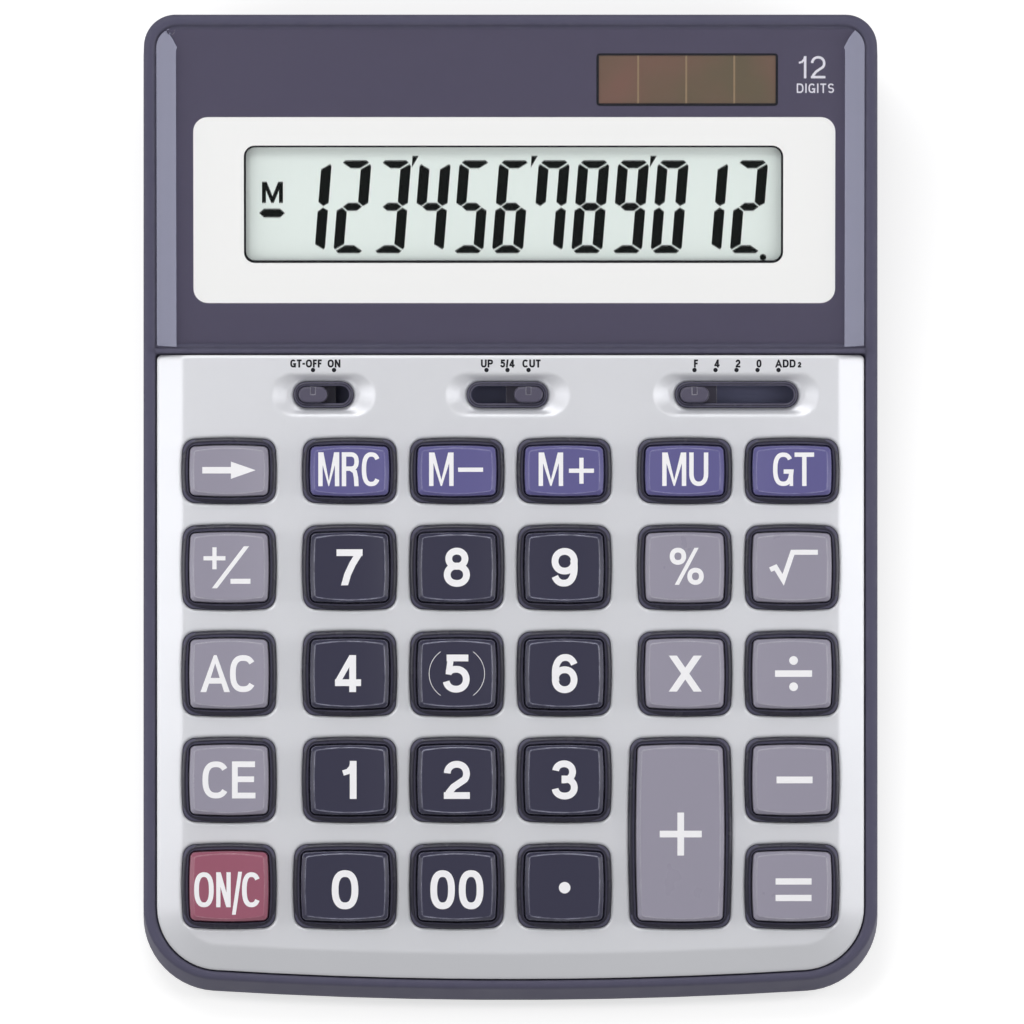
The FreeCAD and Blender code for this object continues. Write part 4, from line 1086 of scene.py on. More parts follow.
@dataclass
class Studio:
    """The floor, the lamps and the camera at the photograph's place."""

    frame_height: float = 204.8
    distance: float = 6000.0
    sensor: float = 36.0
    aim: tuple[float, float, float] = (0.3, 93.4, 1.6)
    view_end: float = 20.0
    floor_size: float = 3.0
    world_strength: float = 0.4

    def build(self) -> None:
        """Makes all of it."""
        self.floor()
        self.world()
        self.camera()
        self.lamp("side_lamp_left", (-340, -30, 280), (110, 640), 0.6)
        self.lamp("side_lamp_right", (360, -30, 290), (110, 640), 0.7)
        self.lamp("key_lamp", (-190, 640, 1110), (500, 420), 4.5)

    def floor(self) -> None:
        """Lays a plane just under the feet."""
        shape = Shape()
        half = self.floor_size / 2 / MM
        signs = ((-1, -1), (1, -1), (1, 1), (-1, 1))
        corners = [Vector((x * half, y * half, 0)) for x, y in signs]
        shape.mesh.faces.new([shape.mesh.verts.new(corner) for corner in corners])
        data = shape.finish("studio_floor", TABLE)
        data.materials.append(FLOOR.material())
        put("studio_floor", data)

    def world(self) -> None:
        """Lights the room evenly and shows white behind everything."""
        world = bpy.data.worlds.new("studio")
        world.use_nodes = True
        world.node_tree.nodes.clear()
        graph = Graph(world.node_tree)
        rays = graph.add("ShaderNodeLightPath")
        seen = graph.math("MAXIMUM", rays.outputs["Is Camera Ray"], self.world_strength)
        shown = graph.add("ShaderNodeBackground", {"Color": (1, 1, 1, 1), "Strength": seen})
        graph.add("ShaderNodeOutputWorld", {"Surface": shown.outputs[0]})
        bpy.context.scene.world = world

    def camera(self) -> None:
        """Looks square onto the keyboard slope, as the photograph does."""
        data = bpy.data.cameras.new("photograph")
        data.sensor_width = self.sensor
        data.lens = self.sensor * self.distance / self.frame_height
        data.clip_end = self.view_end
        camera = put("photograph", data)
        u, v, n = self.aim
        place = DECK.spot(u, v, n + self.distance)
        turn = Matrix.Rotation(math.radians(LAYOUT.deck_slope), 4, "X")
        camera.matrix_world = Matrix.Translation(place) @ turn
        bpy.context.scene.camera = camera

    def lamp(self, name: str, place: tuple, size: Point, power: float) -> None:
        """Hangs one soft area lamp that looks at the object.

        Args:
            name: The lamp's name.
            place: Its place over the table, in millimetres.
            size: Its width and height, in millimetres.
            power: Its strength in watts.
        """
        data = bpy.data.lights.new(name, "AREA")
        data.shape = "RECTANGLE"
        data.size, data.size_y = size[0] * MM, size[1] * MM
        data.energy = power
        lamp = put(name, data)
        spot = TABLE.spot(*place)
        aim = (-spot).to_track_quat("-Z", "Y").to_matrix().to_4x4()
        lamp.matrix_world = Matrix.Translation(spot) @ aim
        lamp.visible_camera = False


def arc(
    centre: Point, radii: Point, start: float, end: float, squareness: float = 2.3,
) -> list[Point]:
    """Samples part of a rounded form as shares of a sign's box.

    Args:
        centre: Its middle.
        radii: Its half width and half height.
        start: The first angle in degrees, from the right, turning left.
        end: The last angle.
        squareness: 2 for an ellipse, more for a squarer form.

    Returns:
        The points in order.
    """
    count = max(6, round(abs(end - start) / ARC_STEP))
    points = []
    for i in range(count + 1):
        angle = math.radians(start + (end - start) * i / count)
        turn = [math.cos(angle), math.sin(angle)]
        bent = [math.copysign(abs(t) ** (2 / squareness), t) for t in turn]
        points.append((centre[0] + radii[0] * bent[0], centre[1] + radii[1] * bent[1]))
    return points


class Pen:
    """Draws a sign's strokes as thin solids.

    Places are shares of the box that the strokes' middle lines may reach, so 0 and 1 put
    a stroke's outside on the sign's own edge. Each stroke ends a step higher than the one
    before, so that no two tops meet.
    """

    step = 0.004
    overrun = 0.3
    dot_sides = 28
    sharpest = 0.6

    def __init__(self, corner: Point, box: Point, weight: float, levels: Point) -> None:
        """Sets the sign's lower left corner, its size, its stroke and its levels.

        Args:
            corner: The sign's lower left corner.
            box: Its width and height.
            weight: Its strokes' thickness.
            levels: Its lower and upper level.
        """
        self.corner = corner
        self.box = box
        self.weight = weight
        self.low, self.high = levels
        self.shape = Shape()

    def spot(self, share: Point) -> Vector:
        """Turns a place given by shares into millimetres.

        Args:
            share: The place as shares of the box.

        Returns:
            The place in millimetres.
        """
        reach = [side - self.weight for side in self.box]
        return Vector([
            self.corner[i] + self.weight / 2 + share[i] * reach[i] for i in range(2)
        ])

    def path(
        self, shares: Sequence[Point], closed: bool = False, cut: bool = False,
        thickness: float = 1.0,
    ) -> None:
        """Draws one stroke with mitred corners.

        Args:
            shares: Its points.
            closed: Whether it returns to its first point.
            cut: Whether it is cut level with the sign's top and bottom.
            thickness: Its thickness as a share of the sign's own.
        """
        points = [self.spot(share) for share in shares]
        half = self.weight * thickness / 2
        count = len(points)
        sides: list[tuple[Vector, Vector]] = []
        for i, point in enumerate(points):
            before = points[i - 1] if closed or i else point * 2 - points[1]
            after = points[(i + 1) % count] if closed or i < count - 1 else point * 2 - before
            into, out = (point - before).normalized(), (after - point).normalized()
            square = Vector((-into.y - out.y, into.x + out.x))
            reach = half * 2 / max(square.length_squared, self.sharpest)
            sides.append((point + square * reach, point - square * reach))
        self.solid(sides, closed, cut)

    def solid(self, sides: list[tuple[Vector, Vector]], closed: bool, cut: bool) -> None:
        """Gives a stroke its thickness and adds it to the sign.

        Args:
            sides: The left and right side of the stroke at every point.
            closed: Whether its end joins its start.
            cut: Whether it is cut level with the sign's top and bottom.
        """
        stroke = Shape()
        rings = []
        for left, right in sides:
            rings.append([
                Vector((*left, self.low)), Vector((*left, self.high)),
                Vector((*right, self.high)), Vector((*right, self.low)),
            ])
        stroke.loft(rings, wrap=closed)
        if cut:
            bottom = self.corner[1]
            stroke.slice(Vector((0, bottom, 0)), Vector((0, -1, 0)), clear=True)
            stroke.slice(Vector((0, bottom + self.box[1], 0)), Vector((0, 1, 0)), clear=True)
        self.shape.absorb(stroke)
        self.high += self.step

    def ring(self, centre: Point, radii: Point, squareness: float = 2.3) -> None:
        """Draws a closed rounded stroke."""
        self.path(arc(centre, radii, 0, 360, squareness)[:-1], closed=True)

    def slant(self, shares: Sequence[Point], thickness: float = 1.0) -> None:
        """Draws a stroke that is cut level with the sign's top and bottom."""
        self.path(shares, cut=True, thickness=thickness)

    def stem(self, share: float) -> None:
        """Draws an upright stroke over the sign's whole height."""
        self.slant([(share, -self.overrun), (share, 1 + self.overrun)])

    def fill(self, outline: Sequence[Point]) -> None:
        """Fills an outline that is given in millimetres."""
        self.shape.prism(outline, self.low, self.high)
        self.high += self.step

    def dot(self, share: Point, strokes: float = 0.0) -> None:
        """Draws a filled disc.

        Args:
            share: Its middle.
            strokes: Its diameter in strokes' widths, or 0 where it fills the sign's width.
        """
        middle = self.spot(share)
        radius = (self.weight * strokes or self.box[0]) / 2
        turns = [2 * math.pi * i / self.dot_sides for i in range(self.dot_sides)]
        self.fill([
            (middle.x + radius * math.cos(t), middle.y + radius * math.sin(t)) for t in turns
        ])

    def bar(self, level: float, start: float = 0.0, end: float = 1.0) -> None:
        """Draws a level bar between two shares of the sign's own width.

        Args:
            level: The height of its middle line, as a share.
            start: Where it starts, as a share of the full width.
            end: Where it ends.
        """
        left, right = (self.corner[0] + self.box[0] * share for share in (start, end))
        middle = self.spot((0.5, level)).y
        low, high = middle - self.weight / 2, middle + self.weight / 2
        self.fill([(left, low), (right, low), (right, high), (left, high)])

    def patch(self, shares: Sequence[Point]) -> None:
        """Draws a filled outline that is given by shares."""
        self.fill([tuple(self.spot(share)) for share in shares])


ROUND = [(Pen.ring, (0.5, 0.5), (0.5, 0.5), 2.45)]
SIGNS: dict[str, Sequence[tuple]] = {
    "0": ROUND,
    "1": [
        (Pen.stem, 1), (Pen.slant, [(-0.4, 0.72), (0.3, 0.77), (0.8, 0.9), (1.0, 1.12)], 0.8),
    ],
    "2": [
        (Pen.slant, [
            *arc((0.5, 0.7), (0.5, 0.3), 178, -38, 2.1), (0.32, 0.27), (0.1, 0.1), (0.03, -0.12),
        ]),
        (Pen.bar, 0),
    ],
    "3": [
        (Pen.path, [*arc((0.47, 0.75), (0.44, 0.25), 172, -90, 2.1), (0.34, 0.5)]),
        (Pen.path, [(0.34, 0.53), *arc((0.5, 0.265), (0.5, 0.265), 90, -172, 2.1)]),
    ],
    "4": [(Pen.stem, 0.74), (Pen.bar, 0.2), (Pen.slant, [(-0.02, 0.25), (0.72, 1.08)], 0.85)],
    "5": [
        (Pen.bar, 1, 0.1, 0.95), (Pen.slant, [(0.2, 1.1), (0.06, 0.47)], 0.9),
        (Pen.path, arc((0.46, 0.32), (0.54, 0.32), 142, -168, 2.1)),
    ],
    "6": [
        (Pen.ring, (0.5, 0.31), (0.5, 0.31), 2.1),
        (Pen.path, arc((0.54, 0.5), (0.54, 0.5), 205, 32)),
    ],
    "7": [(Pen.bar, 1), (Pen.slant, [(1.0, 0.98), (0.66, 0.62), (0.4, 0.25), (0.16, -0.3)])],
    "8": [
        (Pen.ring, (0.5, 0.765), (0.42, 0.235), 2.1), (Pen.ring, (0.5, 0.27), (0.5, 0.27), 2.1),
    ],
    "9": [
        (Pen.ring, (0.5, 0.69), (0.5, 0.31), 2.1),
        (Pen.path, arc((0.46, 0.5), (0.54, 0.5), 25, -148)),
    ],
    "A": [(Pen.slant, [(-0.12, -0.25), (0.5, 1.02), (1.12, -0.25)]), (Pen.bar, 0.27, 0.2, 0.8)],
    "C": [(Pen.path, arc((0.5, 0.5), (0.5, 0.5), 38, 322, 2.5))],
    "D": [(Pen.path, [(0, 0), *arc((0.45, 0.5), (0.55, 0.5), -90, 90, 2.6), (0, 1)], True)],
    "E": [
        (Pen.stem, 0), (Pen.bar, 0, 0.05, 1.0), (Pen.bar, 0.52, 0.05, 0.94),
        (Pen.bar, 1, 0.05, 0.98),
    ],
    "F": [(Pen.stem, 0), (Pen.bar, 0.5, 0.05, 0.9), (Pen.bar, 1, 0.05, 1.0)],
    "G": [
        (Pen.path, [*arc((0.5, 0.5), (0.5, 0.5), 38, 352, 2.5), (1, 0.42), (0.52, 0.42)]),
        (Pen.slant, [(1, 0.45), (1, -0.3)], 0.8),
    ],
    "I": [(Pen.stem, 0.5)],
    "M": [(Pen.stem, 0), (Pen.stem, 1), (Pen.slant, [(0.02, 1.15), (0.5, 0.0), (0.98, 1.15)])],
    "N": [(Pen.stem, 0), (Pen.stem, 1), (Pen.slant, [(-0.03, 1.12), (1.03, -0.12)])],
    "O": ROUND,
    "P": [
        (Pen.stem, 0),
        (Pen.path, [(0, 1), *arc((0.5, 0.74), (0.5, 0.26), 90, -90, 2.4), (0, 0.48)]),
    ],
    "R": [
        (Pen.stem, 0),
        (Pen.path, [(0, 1), *arc((0.52, 0.76), (0.44, 0.24), 90, -90, 2.4), (0, 0.52)]),
        (Pen.slant, [(0.5, 0.52), (0.82, 0.42), (0.92, 0.2), (0.98, -0.3)]),
    ],
    "S": [
        (Pen.path, [
            *arc((0.5, 0.75), (0.5, 0.25), 25, 270, 2.2),
            *arc((0.5, 0.25), (0.5, 0.25), 90, -155, 2.2)[1:],
        ]),
    ],
    "T": [(Pen.bar, 1), (Pen.slant, [(0.5, -0.3), (0.5, 1.0)])],
    "U": [(Pen.slant, [(0, 1.3), *arc((0.5, 0.36), (0.5, 0.36), 180, 360), (1, 1.3)])],
    "X": [(Pen.slant, [(-0.1, -0.25), (1.1, 1.25)]), (Pen.slant, [(-0.1, 1.25), (1.1, -0.25)])],
    "/": [(Pen.slant, [(-0.2, -0.2), (1.2, 1.2)])],
    "%": [
        (Pen.ring, (0.2, 0.81), (0.2, 0.19), 2.2), (Pen.ring, (0.8, 0.19), (0.2, 0.19), 2.2),
        (Pen.slant, [(0.12, -0.15), (0.88, 1.15)], 0.8),
    ],
    "-": [(Pen.bar, 0.45)],
    "_": [(Pen.bar, 0.5)],
    "+": [(Pen.stem, 0.5), (Pen.bar, 0.5)],
    "=": [(Pen.bar, 0), (Pen.bar, 1)],
    ".": [(Pen.dot, (0.5, 0.5))],
    "divide": [(Pen.bar, 0.5), (Pen.dot, (0.5, 0.04), 1.35), (Pen.dot, (0.5, 0.96), 1.35)],
    "root": [(Pen.path, [(-0.02, 0.42), (0.1, 0.5), (0.27, 0.08), (0.48, 1.0), (1.04, 1.0)])],
    "arrow": [
        (Pen.path, [(-0.05, 0.5), (0.6, 0.5)]),
        (Pen.patch, [(0.54, -0.18), (1.05, 0.5), (0.54, 1.18)]),
    ],
}


@dataclass(frozen=True)
class Sign:
    """One sign of a legend: what it is, its size, and its middle from the key's middle."""

    what: str
    width: float
    height: float
    x: float = 0.0
    y: float = 0.0
    weight: float = 1.35

    def draw(self, middle: Point, levels: Point) -> Shape:
        """Draws the sign round a middle, between two levels, and gives its shape.

        Args:
            middle: The key's middle.
            levels: The lower and upper level.

        Returns:
            The sign's shape.
        """
        corner = (middle[0] + self.x - self.width / 2, middle[1] + self.y - self.height / 2)
        pen = Pen(corner, (self.width, self.height), self.weight, levels)
        for stroke, *given in SIGNS[self.what]:
            stroke(pen, *given)
        return pen.shape


LETTER_WIDTHS = {
    "A": 1.3, "C": 1.2, "D": 1.2, "F": 0.8, "G": 1.15, "N": 1.15, "O": 1.25, "P": 1.1,
    "T": 0.95, "U": 1.15, "-": 0.5, "/": 0.5, "0": 1.0, "2": 0.95, "4": 1.05, "5": 0.95,
}


def word(
    text: str, widths: Sequence[float], height: float, gap: float, weight: float,
    rise: float = 0.0,
) -> list[Sign]:
    """Sets the letters of a word side by side round its middle.

    Args:
        text: The letters.
        widths: The width of each.
        height: Their height.
        gap: The space between them.
        weight: The thickness of their strokes.
        rise: How far the word stands above the key's middle.

    Returns:
        One sign for each letter.
    """
    place = -(sum(widths) + gap * (len(widths) - 1)) / 2
    signs = []
    for letter, width in zip(text, widths):
        signs.append(Sign(letter, width, height, place + width / 2, rise, weight))
        place += width + gap
    return signs


class Trees:
    """The geometry trees that make what repeats or follows a path."""

    plan_points = 128
    corner_points = 10
    rim_points = 6
    rim_round = 0.48
    coil_points = 40
    wire_points = 12

    def __init__(self) -> None:
        """Builds each tree once."""
        self.bead = self._bead()
        self.scatter = self._scatter()
        self.coil = self._coil()

    @staticmethod
    def _place(graph: Graph, part: Output, turn: Output, given: Outputs, result: Node) -> None:
        """Ends a tree by a part on every point, Realize Instances and Set Material.

        Args:
            graph: The tree's graph.
            part: The geometry that goes on every point.
            turn: How it is turned.
            given: What the tree's inputs give.
            result: Its output node.
        """
        placed = graph.add("GeometryNodeInstanceOnPoints", {
            "Points": given["Geometry"], "Instance": part, "Rotation": turn,
        })
        real = graph.add("GeometryNodeRealizeInstances", {0: placed.outputs[0]})
        dressed = graph.add("GeometryNodeSetMaterial", {
            "Geometry": real.outputs[0], "Material": given["Material"],
        })
        graph.feed(result, {0: dressed.outputs[0]})

    def _bead(self) -> Tree:
        """A moulded lip round a rounded opening whose sides may bow, at every point.

        Returns:
            The tree.
        """
        graph, given, result = new_group("lip_round_opening", "GeometryNodeTree", {
            Socket.GEOMETRY: ["Geometry"],
            Socket.NUMBER: ["Width", "Length", "Corner", "Bow", "Lip Width", "Lip Height"],
            Socket.VECTOR: ["Turn"], Socket.MATERIAL: ["Material"],
        }, {Socket.GEOMETRY: ["Geometry"]})
        plan = graph.add("GeometryNodeCurvePrimitiveQuadrilateral", {
            "Width": given["Width"], "Height": given["Length"],
        })
        round_plan = graph.add("GeometryNodeFilletCurve", {
            "Curve": plan.outputs[0], "Count": self.corner_points, "Radius": given["Corner"],
            "Limit Radius": True,
        }, mode="POLY")
        even = graph.add("GeometryNodeResampleCurve", {
            "Curve": round_plan.outputs[0], "Count": self.plan_points,
        })
        place = graph.add("GeometryNodeInputPosition")
        parts = graph.add("ShaderNodeSeparateXYZ", {0: place.outputs[0]})
        bowed = []
        # At a side's end the share is a half, which makes the outline twice the bow narrower.
        for own, other, side, end in (("X", "Y", "Width", "Length"), ("Y", "X", "Length", "Width")):
            share = graph.math("DIVIDE", parts.outputs[other], given[end])
            squared = graph.math("MULTIPLY", graph.math("MULTIPLY", share, share), 8.0)
            depth = graph.math("DIVIDE", given["Bow"], given[side])
            shrink = graph.math("SUBTRACT", 1.0, graph.math("MULTIPLY", squared, depth))
            bowed.append(graph.math("MULTIPLY", parts.outputs[own], shrink))
        joined = graph.add("ShaderNodeCombineXYZ", {0: bowed[0], 1: bowed[1], 2: 0.0})
        moved = graph.add("GeometryNodeSetPosition", {
            "Geometry": even.outputs[0], "Position": joined.outputs[0],
        })
        level = graph.add("GeometryNodeSetCurveNormal", {"Curve": moved.outputs[0]}, mode="Z_UP")
        profile = graph.add("GeometryNodeCurvePrimitiveQuadrilateral", {
            "Width": given["Lip Width"], "Height": given["Lip Height"],
        })
        half = graph.math("MULTIPLY", given["Lip Width"], self.rim_round)
        soft = graph.add("GeometryNodeFilletCurve", {
            "Curve": profile.outputs[0], "Count": self.rim_points, "Radius": half,
            "Limit Radius": True,
        }, mode="POLY")
        lip = graph.add("GeometryNodeCurveToMesh", {
            "Curve": level.outputs[0], "Profile Curve": soft.outputs[0],
        })
        self._place(graph, lip.outputs[0], given["Turn"], given, result)
        return graph.tree

    def _scatter(self) -> Tree:
        """One small part set on every point, each turned by its own seeded angle.

        Returns:
            The tree.
        """
        graph, given, result = new_group("part_at_each_point", "GeometryNodeTree", {
            Socket.GEOMETRY: ["Geometry"], Socket.OBJECT: ["Part"], Socket.VECTOR: ["Turn"],
            Socket.NUMBER: ["Spin"], Socket.COUNT: ["Seed"], Socket.MATERIAL: ["Material"],
        }, {Socket.GEOMETRY: ["Geometry"]})
        part = graph.add("GeometryNodeObjectInfo", {"Object": given["Part"]})
        angle = graph.add("FunctionNodeRandomValue", {
            2: 0.0, 3: given["Spin"], "Seed": given["Seed"],
        })
        about = graph.add("ShaderNodeCombineXYZ", {2: angle.outputs[1]})
        lean = graph.add("FunctionNodeRotateEuler", {
            "Rotation": given["Turn"], "Rotate By": about.outputs[0],
        }, space="LOCAL")
        self._place(graph, part.outputs["Geometry"], lean.outputs[0], given, result)
        return graph.tree

    def _coil(self) -> Tree:
        """A cone-shaped coil of round wire on every point.

        Returns:
            The tree.
        """
        graph, given, result = new_group("cone_spring", "GeometryNodeTree", {
            Socket.GEOMETRY: ["Geometry"],
            Socket.NUMBER: ["Turns", "Wide", "Narrow", "Length", "Wire"],
            Socket.VECTOR: ["Turn"], Socket.MATERIAL: ["Material"],
        }, {Socket.GEOMETRY: ["Geometry"]})
        line = graph.add("GeometryNodeCurveSpiral", {
            "Resolution": self.coil_points, "Rotations": given["Turns"],
            "Start Radius": given["Wide"], "End Radius": given["Narrow"],
            "Height": given["Length"],
        })
        round_wire = graph.add("GeometryNodeCurvePrimitiveCircle", {
            "Resolution": self.wire_points, "Radius": given["Wire"],
        })
        wire = graph.add("GeometryNodeCurveToMesh", {
            "Curve": line.outputs[0], "Profile Curve": round_wire.outputs[0], "Fill Caps": True,
        })
        self._place(graph, wire.outputs[0], given["Turn"], given, result)
        return graph.tree


TREES = Trees()


def grow(
    name: str, tree: Tree, places: Sequence[Vector], values: dict[str, object],
) -> bpy.types.Mesh:
    """Runs a geometry tree on a set of points.

    Args:
        name: The new mesh's name.
        tree: The tree.
        places: The points, in the scene's metres.
        values: What each named input is set to.

    Returns:
        The result as a plain mesh.
    """
    seeds = bpy.data.meshes.new(name + "_points")
    seeds.from_pydata([tuple(place) for place in places], [], [])
    maker = put(name + "_maker", seeds)
    modifier = maker.modifiers.new("grow", "NODES")
    modifier.node_group = tree
    for item in tree.interface.items_tree:
        if item.in_out == "INPUT" and item.name in values:
            modifier[item.identifier] = values[item.name]
    graph = bpy.context.evaluated_depsgraph_get()
    data = bpy.data.meshes.new_from_object(maker.evaluated_get(graph), depsgraph=graph)
    data.name = name
    maker.modifiers.remove(modifier)
    bpy.data.objects.remove(maker)
    tidy = bmesh.new()
    tidy.from_mesh(data)
    bmesh.ops.recalc_face_normals(tidy, faces=tidy.faces)
    tidy.to_mesh(data)
    tidy.free()
    return data


DECK_TURN = (math.radians(LAYOUT.deck_slope), 0.0, 0.0)
LIP_COVER = 0.04


def round_rims(
    name: str, places: Sequence[Vector], size: Point, corner: float, wall: Point,
    bow: float = 0.0,
) -> None:
    """Rounds the rims of equal openings in the deck.

    Args:
        name: The piece's name.
        places: The middle of every rim, at half its height, in the scene's metres.
        size: The width and length of its middle line, in millimetres.
        corner: Its corner radius.
        wall: The rim's own width and height.
        bow: How far its sides bow outwards.
    """
    data = grow(name, TREES.bead, places, {
        "Width": size[0] * MM, "Length": size[1] * MM, "Corner": corner * MM, "Bow": bow * MM,
        "Lip Width": (wall[0] + LIP_COVER) * MM, "Lip Height": wall[1] * MM,
        "Turn": DECK_TURN, "Material": COLLAR.material(),
    })
    publish(name, data, Dressing(COLLAR, "case_plastic"))


def strew(
    name: str, shape: Shape, places: Sequence[Vector], dressing: Dressing,
    turn: tuple[float, float, float] = DECK_TURN, spin: float = 0.0, seed: int = 1,
) -> None:
    """Sets a small shape on every place, and publishes them together as one piece.

    Args:
        name: The piece's name.
        shape: The shape, in millimetres round its own origin.
        places: Where it goes, in the scene's metres.
        dressing: The piece's finish, slot, body and the CAD nodes that it stands for.
        turn: How all of them are turned.
        spin: The most that each is turned about its own axis.
        seed: The seed of these turns.
    """
    part = put(name + "_part", shape.finish(name + "_part", TABLE))
    data = grow(name, TREES.scatter, places, {
        "Part": part, "Turn": turn, "Spin": spin, "Seed": seed,
        "Material": dressing.finish.material(),
    })
    bpy.data.objects.remove(part)
    publish(name, data, dressing)


@dataclass(frozen=True)
class Key:
    """One key: its node, its place on the deck, its collar's size, its tone and legend."""

    node: str
    middle: Point
    size: Point
    tone: Tone
    legend: Sequence[Sign]
    drift: float = 0.0


@dataclass
class Keyboard:
    """The keys with their legends, and the lips of the collars that they sit in."""

    width: float = 18.8
    height: float = 17.0
    low_height: float = 13.1
    wide_extra: float = 1.8
    side_bow: float = 0.45
    legend_drift: tuple[float, ...] = (0.0, 0.0, 0.0, 0.1, 0.1, 0.3)
    corner: float = 2.5
    collar_width: float = 1.15
    collar_rise: float = 0.7
    collar_root: float = 0.3
    key_rise: float = 3.1
    crown_inset: float = 2.3
    dish_depth: float = 0.3
    dish_margin: float = 0.4
    ink: float = 0.03
    root: float = 0.02
    facet: float = 1.4
    arc_box: Point = (11.2, 8.8)
    arc_weight: float = 0.1
    arc_reach: float = 0.62
    arc_half: float = 54.0

    def build(self) -> None:
        """Makes every key's looks and the collar lips."""
        keys = self.keys()
        for key in keys:
            dress_node(key.node, KEY_FINISHES[key.tone])
            self.legend(key)
        self.collars(keys)

    def keys(self) -> list[Key]:
        """Lists the keys with their legends.

        Returns:
            The keys, row by row.
        """
        wide = self.width + self.wide_extra
        shift = self.wide_extra / 2
        rows = LAYOUT.rows
        spots = {
            "key_zero": ((LAYOUT.columns[1] - shift, rows[0]), (wide, self.height)),
            "key_plus": (
                (LAYOUT.columns[4] - shift, (rows[0] + rows[1]) / 2),
                (wide, self.height + LAYOUT.row_pitch),
            ),
        }
        keys = []
        for node, (column, row, tone, legend) in self.plan().items():
            level, size = LAYOUT.function_row, (self.width, self.low_height)
            if row < len(rows):
                level, size = rows[row], (self.width, self.height)
            middle = (LAYOUT.columns[column], level)
            middle, size = spots.get(node, (middle, size))
            keys.append(Key(node, middle, size, tone, legend, self.legend_drift[column]))
        return keys

    @staticmethod
    def plan() -> dict[str, tuple[int, int, Tone, list[Sign]]]:
        """Gives every key's column, row, tone and legend.

        Returns:
            Column, row, tone and legend by the key's node.
        """
        low = -0.7
        digit, function, memory = Tone.DIGIT, Tone.FUNCTION, Tone.MEMORY
        noughts = [Sign("0", 4.9, 7.8, side * 2.85, low) for side in (-1, 1)]
        on_clear = [
            Sign("O", 3.9, 7.0, -5.0, low, 0.95), Sign("N", 2.9, 7.0, -1.1, low, 0.85),
            Sign("/", 1.9, 8.6, 1.6, -1.4, 0.75), Sign("C", 3.8, 7.0, 4.5, low, 0.95),
        ]
        sign_change = [
            Sign("+", 4.4, 4.4, -2.9, 1.8, 0.85), Sign("/", 6.6, 8.4, 0.3, 0.0, 0.85),
            Sign("_", 4.0, 1.0, 2.3, -2.8, 1.0),
        ]
        minus = [Sign("M", 4.9, 6.7, -3.1, 0.3, 0.88), Sign("_", 5.0, 1.0, 2.75, 0.2, 0.85)]
        plus = [Sign("M", 4.9, 6.7, -2.75, 0.3, 0.88), Sign("+", 5.0, 5.2, 3.35, 0.0, 0.85)]
        recall = word("MRC", (4.2, 3.5, 3.8), 6.8, 0.5, 0.88, 0.3)
        return {
            "key_on_clear": (0, 0, Tone.CLEAR, on_clear),
            "key_zero": (1, 0, digit, [Sign("0", 5.3, 7.8, 0.0, low)]),
            "key_double_zero": (2, 0, digit, noughts),
            "key_decimal_point": (3, 0, digit, [Sign(".", 2.3, 2.3, 0.0, -0.3)]),
            "key_equals": (5, 0, function, [Sign("=", 7.2, 4.55, 0.0, low, 1.25)]),
            "key_plus": (4, 0, function, [Sign("+", 8.4, 8.6, 0.0, -0.2, 1.33)]),
            "key_clear_entry": (0, 1, function, word("CE", (5.4, 4.7), 7.4, 0.5, 1.15)),
            "key_one": (1, 1, digit, [Sign("1", 2.8, 7.6)]),
            "key_two": (2, 1, digit, [Sign("2", 5.2, 7.6)]),
            "key_three": (3, 1, digit, [Sign("3", 5.2, 7.8)]),
            "key_minus": (5, 1, function, [Sign("_", 7.2, 1.37, 0.2)]),
            "key_all_clear": (0, 2, function, word("AC", (5.5, 5.3), 7.4, 0.2, 1.15)),
            "key_four": (1, 2, digit, [Sign("4", 5.2, 7.4, -0.3)]),
            "key_five": (2, 2, digit, [Sign("5", 5.1, 7.6)]),
            "key_six": (3, 2, digit, [Sign("6", 5.1, 7.8)]),
            "key_multiply": (4, 2, function, [Sign("X", 6.4, 7.2)]),
            "key_divide": (5, 2, function, [Sign("divide", 7.4, 7.0, 0.0, 0.0, 1.3)]),
            "key_sign_change": (0, 3, function, sign_change),
            "key_seven": (1, 3, digit, [Sign("7", 5.2, 7.2)]),
            "key_eight": (2, 3, digit, [Sign("8", 5.2, 7.8)]),
            "key_nine": (3, 3, digit, [Sign("9", 5.2, 7.7)]),
            "key_percent": (4, 3, function, [Sign("%", 6.8, 7.4, 0.3, 0.2, 0.95)]),
            "key_square_root": (5, 3, function, [Sign("root", 10.0, 7.0, 0.0, 0.0, 1.0)]),
            "key_backspace": (0, 4, function, [Sign("arrow", 11.0, 3.85, 0.0, 0.1, 1.3)]),
            "key_memory_recall": (1, 4, memory, recall),
            "key_memory_minus": (2, 4, memory, minus),
            "key_memory_plus": (3, 4, memory, plus),
            "key_mark_up": (4, 4, memory, word("MU", (4.8, 3.8), 6.7, 0.6, 0.88, 0.3)),
            "key_grand_total": (5, 4, memory, word("GT", (4.1, 3.9), 6.7, 0.2, 0.88, 0.3)),
        }

    def dish(self, key: Key) -> Callable[[Vector], Vector]:
        """Gives the rule that lays a flat drawing on a key's dished top.

        Args:
            key: The key.

        Returns:
            The rule, for a point on the deck's slope.
        """
        key_top = LAYOUT.plate_rise + self.collar_rise + self.key_rise
        chord = key.size[0] / 2 - self.crown_inset - self.dish_margin
        radius = (chord ** 2 + self.dish_depth ** 2) / (2 * self.dish_depth)

        def lay(point: Vector) -> Vector:
            """Lifts one point onto the dish.

            Args:
                point: The point.

            Returns:
                Its place on the dish.
            """
            off = point.x - key.middle[0]
            rise = radius - math.sqrt(radius ** 2 - off ** 2)
            return Vector((point.x, point.y, point.z + key_top - self.dish_depth + rise))

        return lay

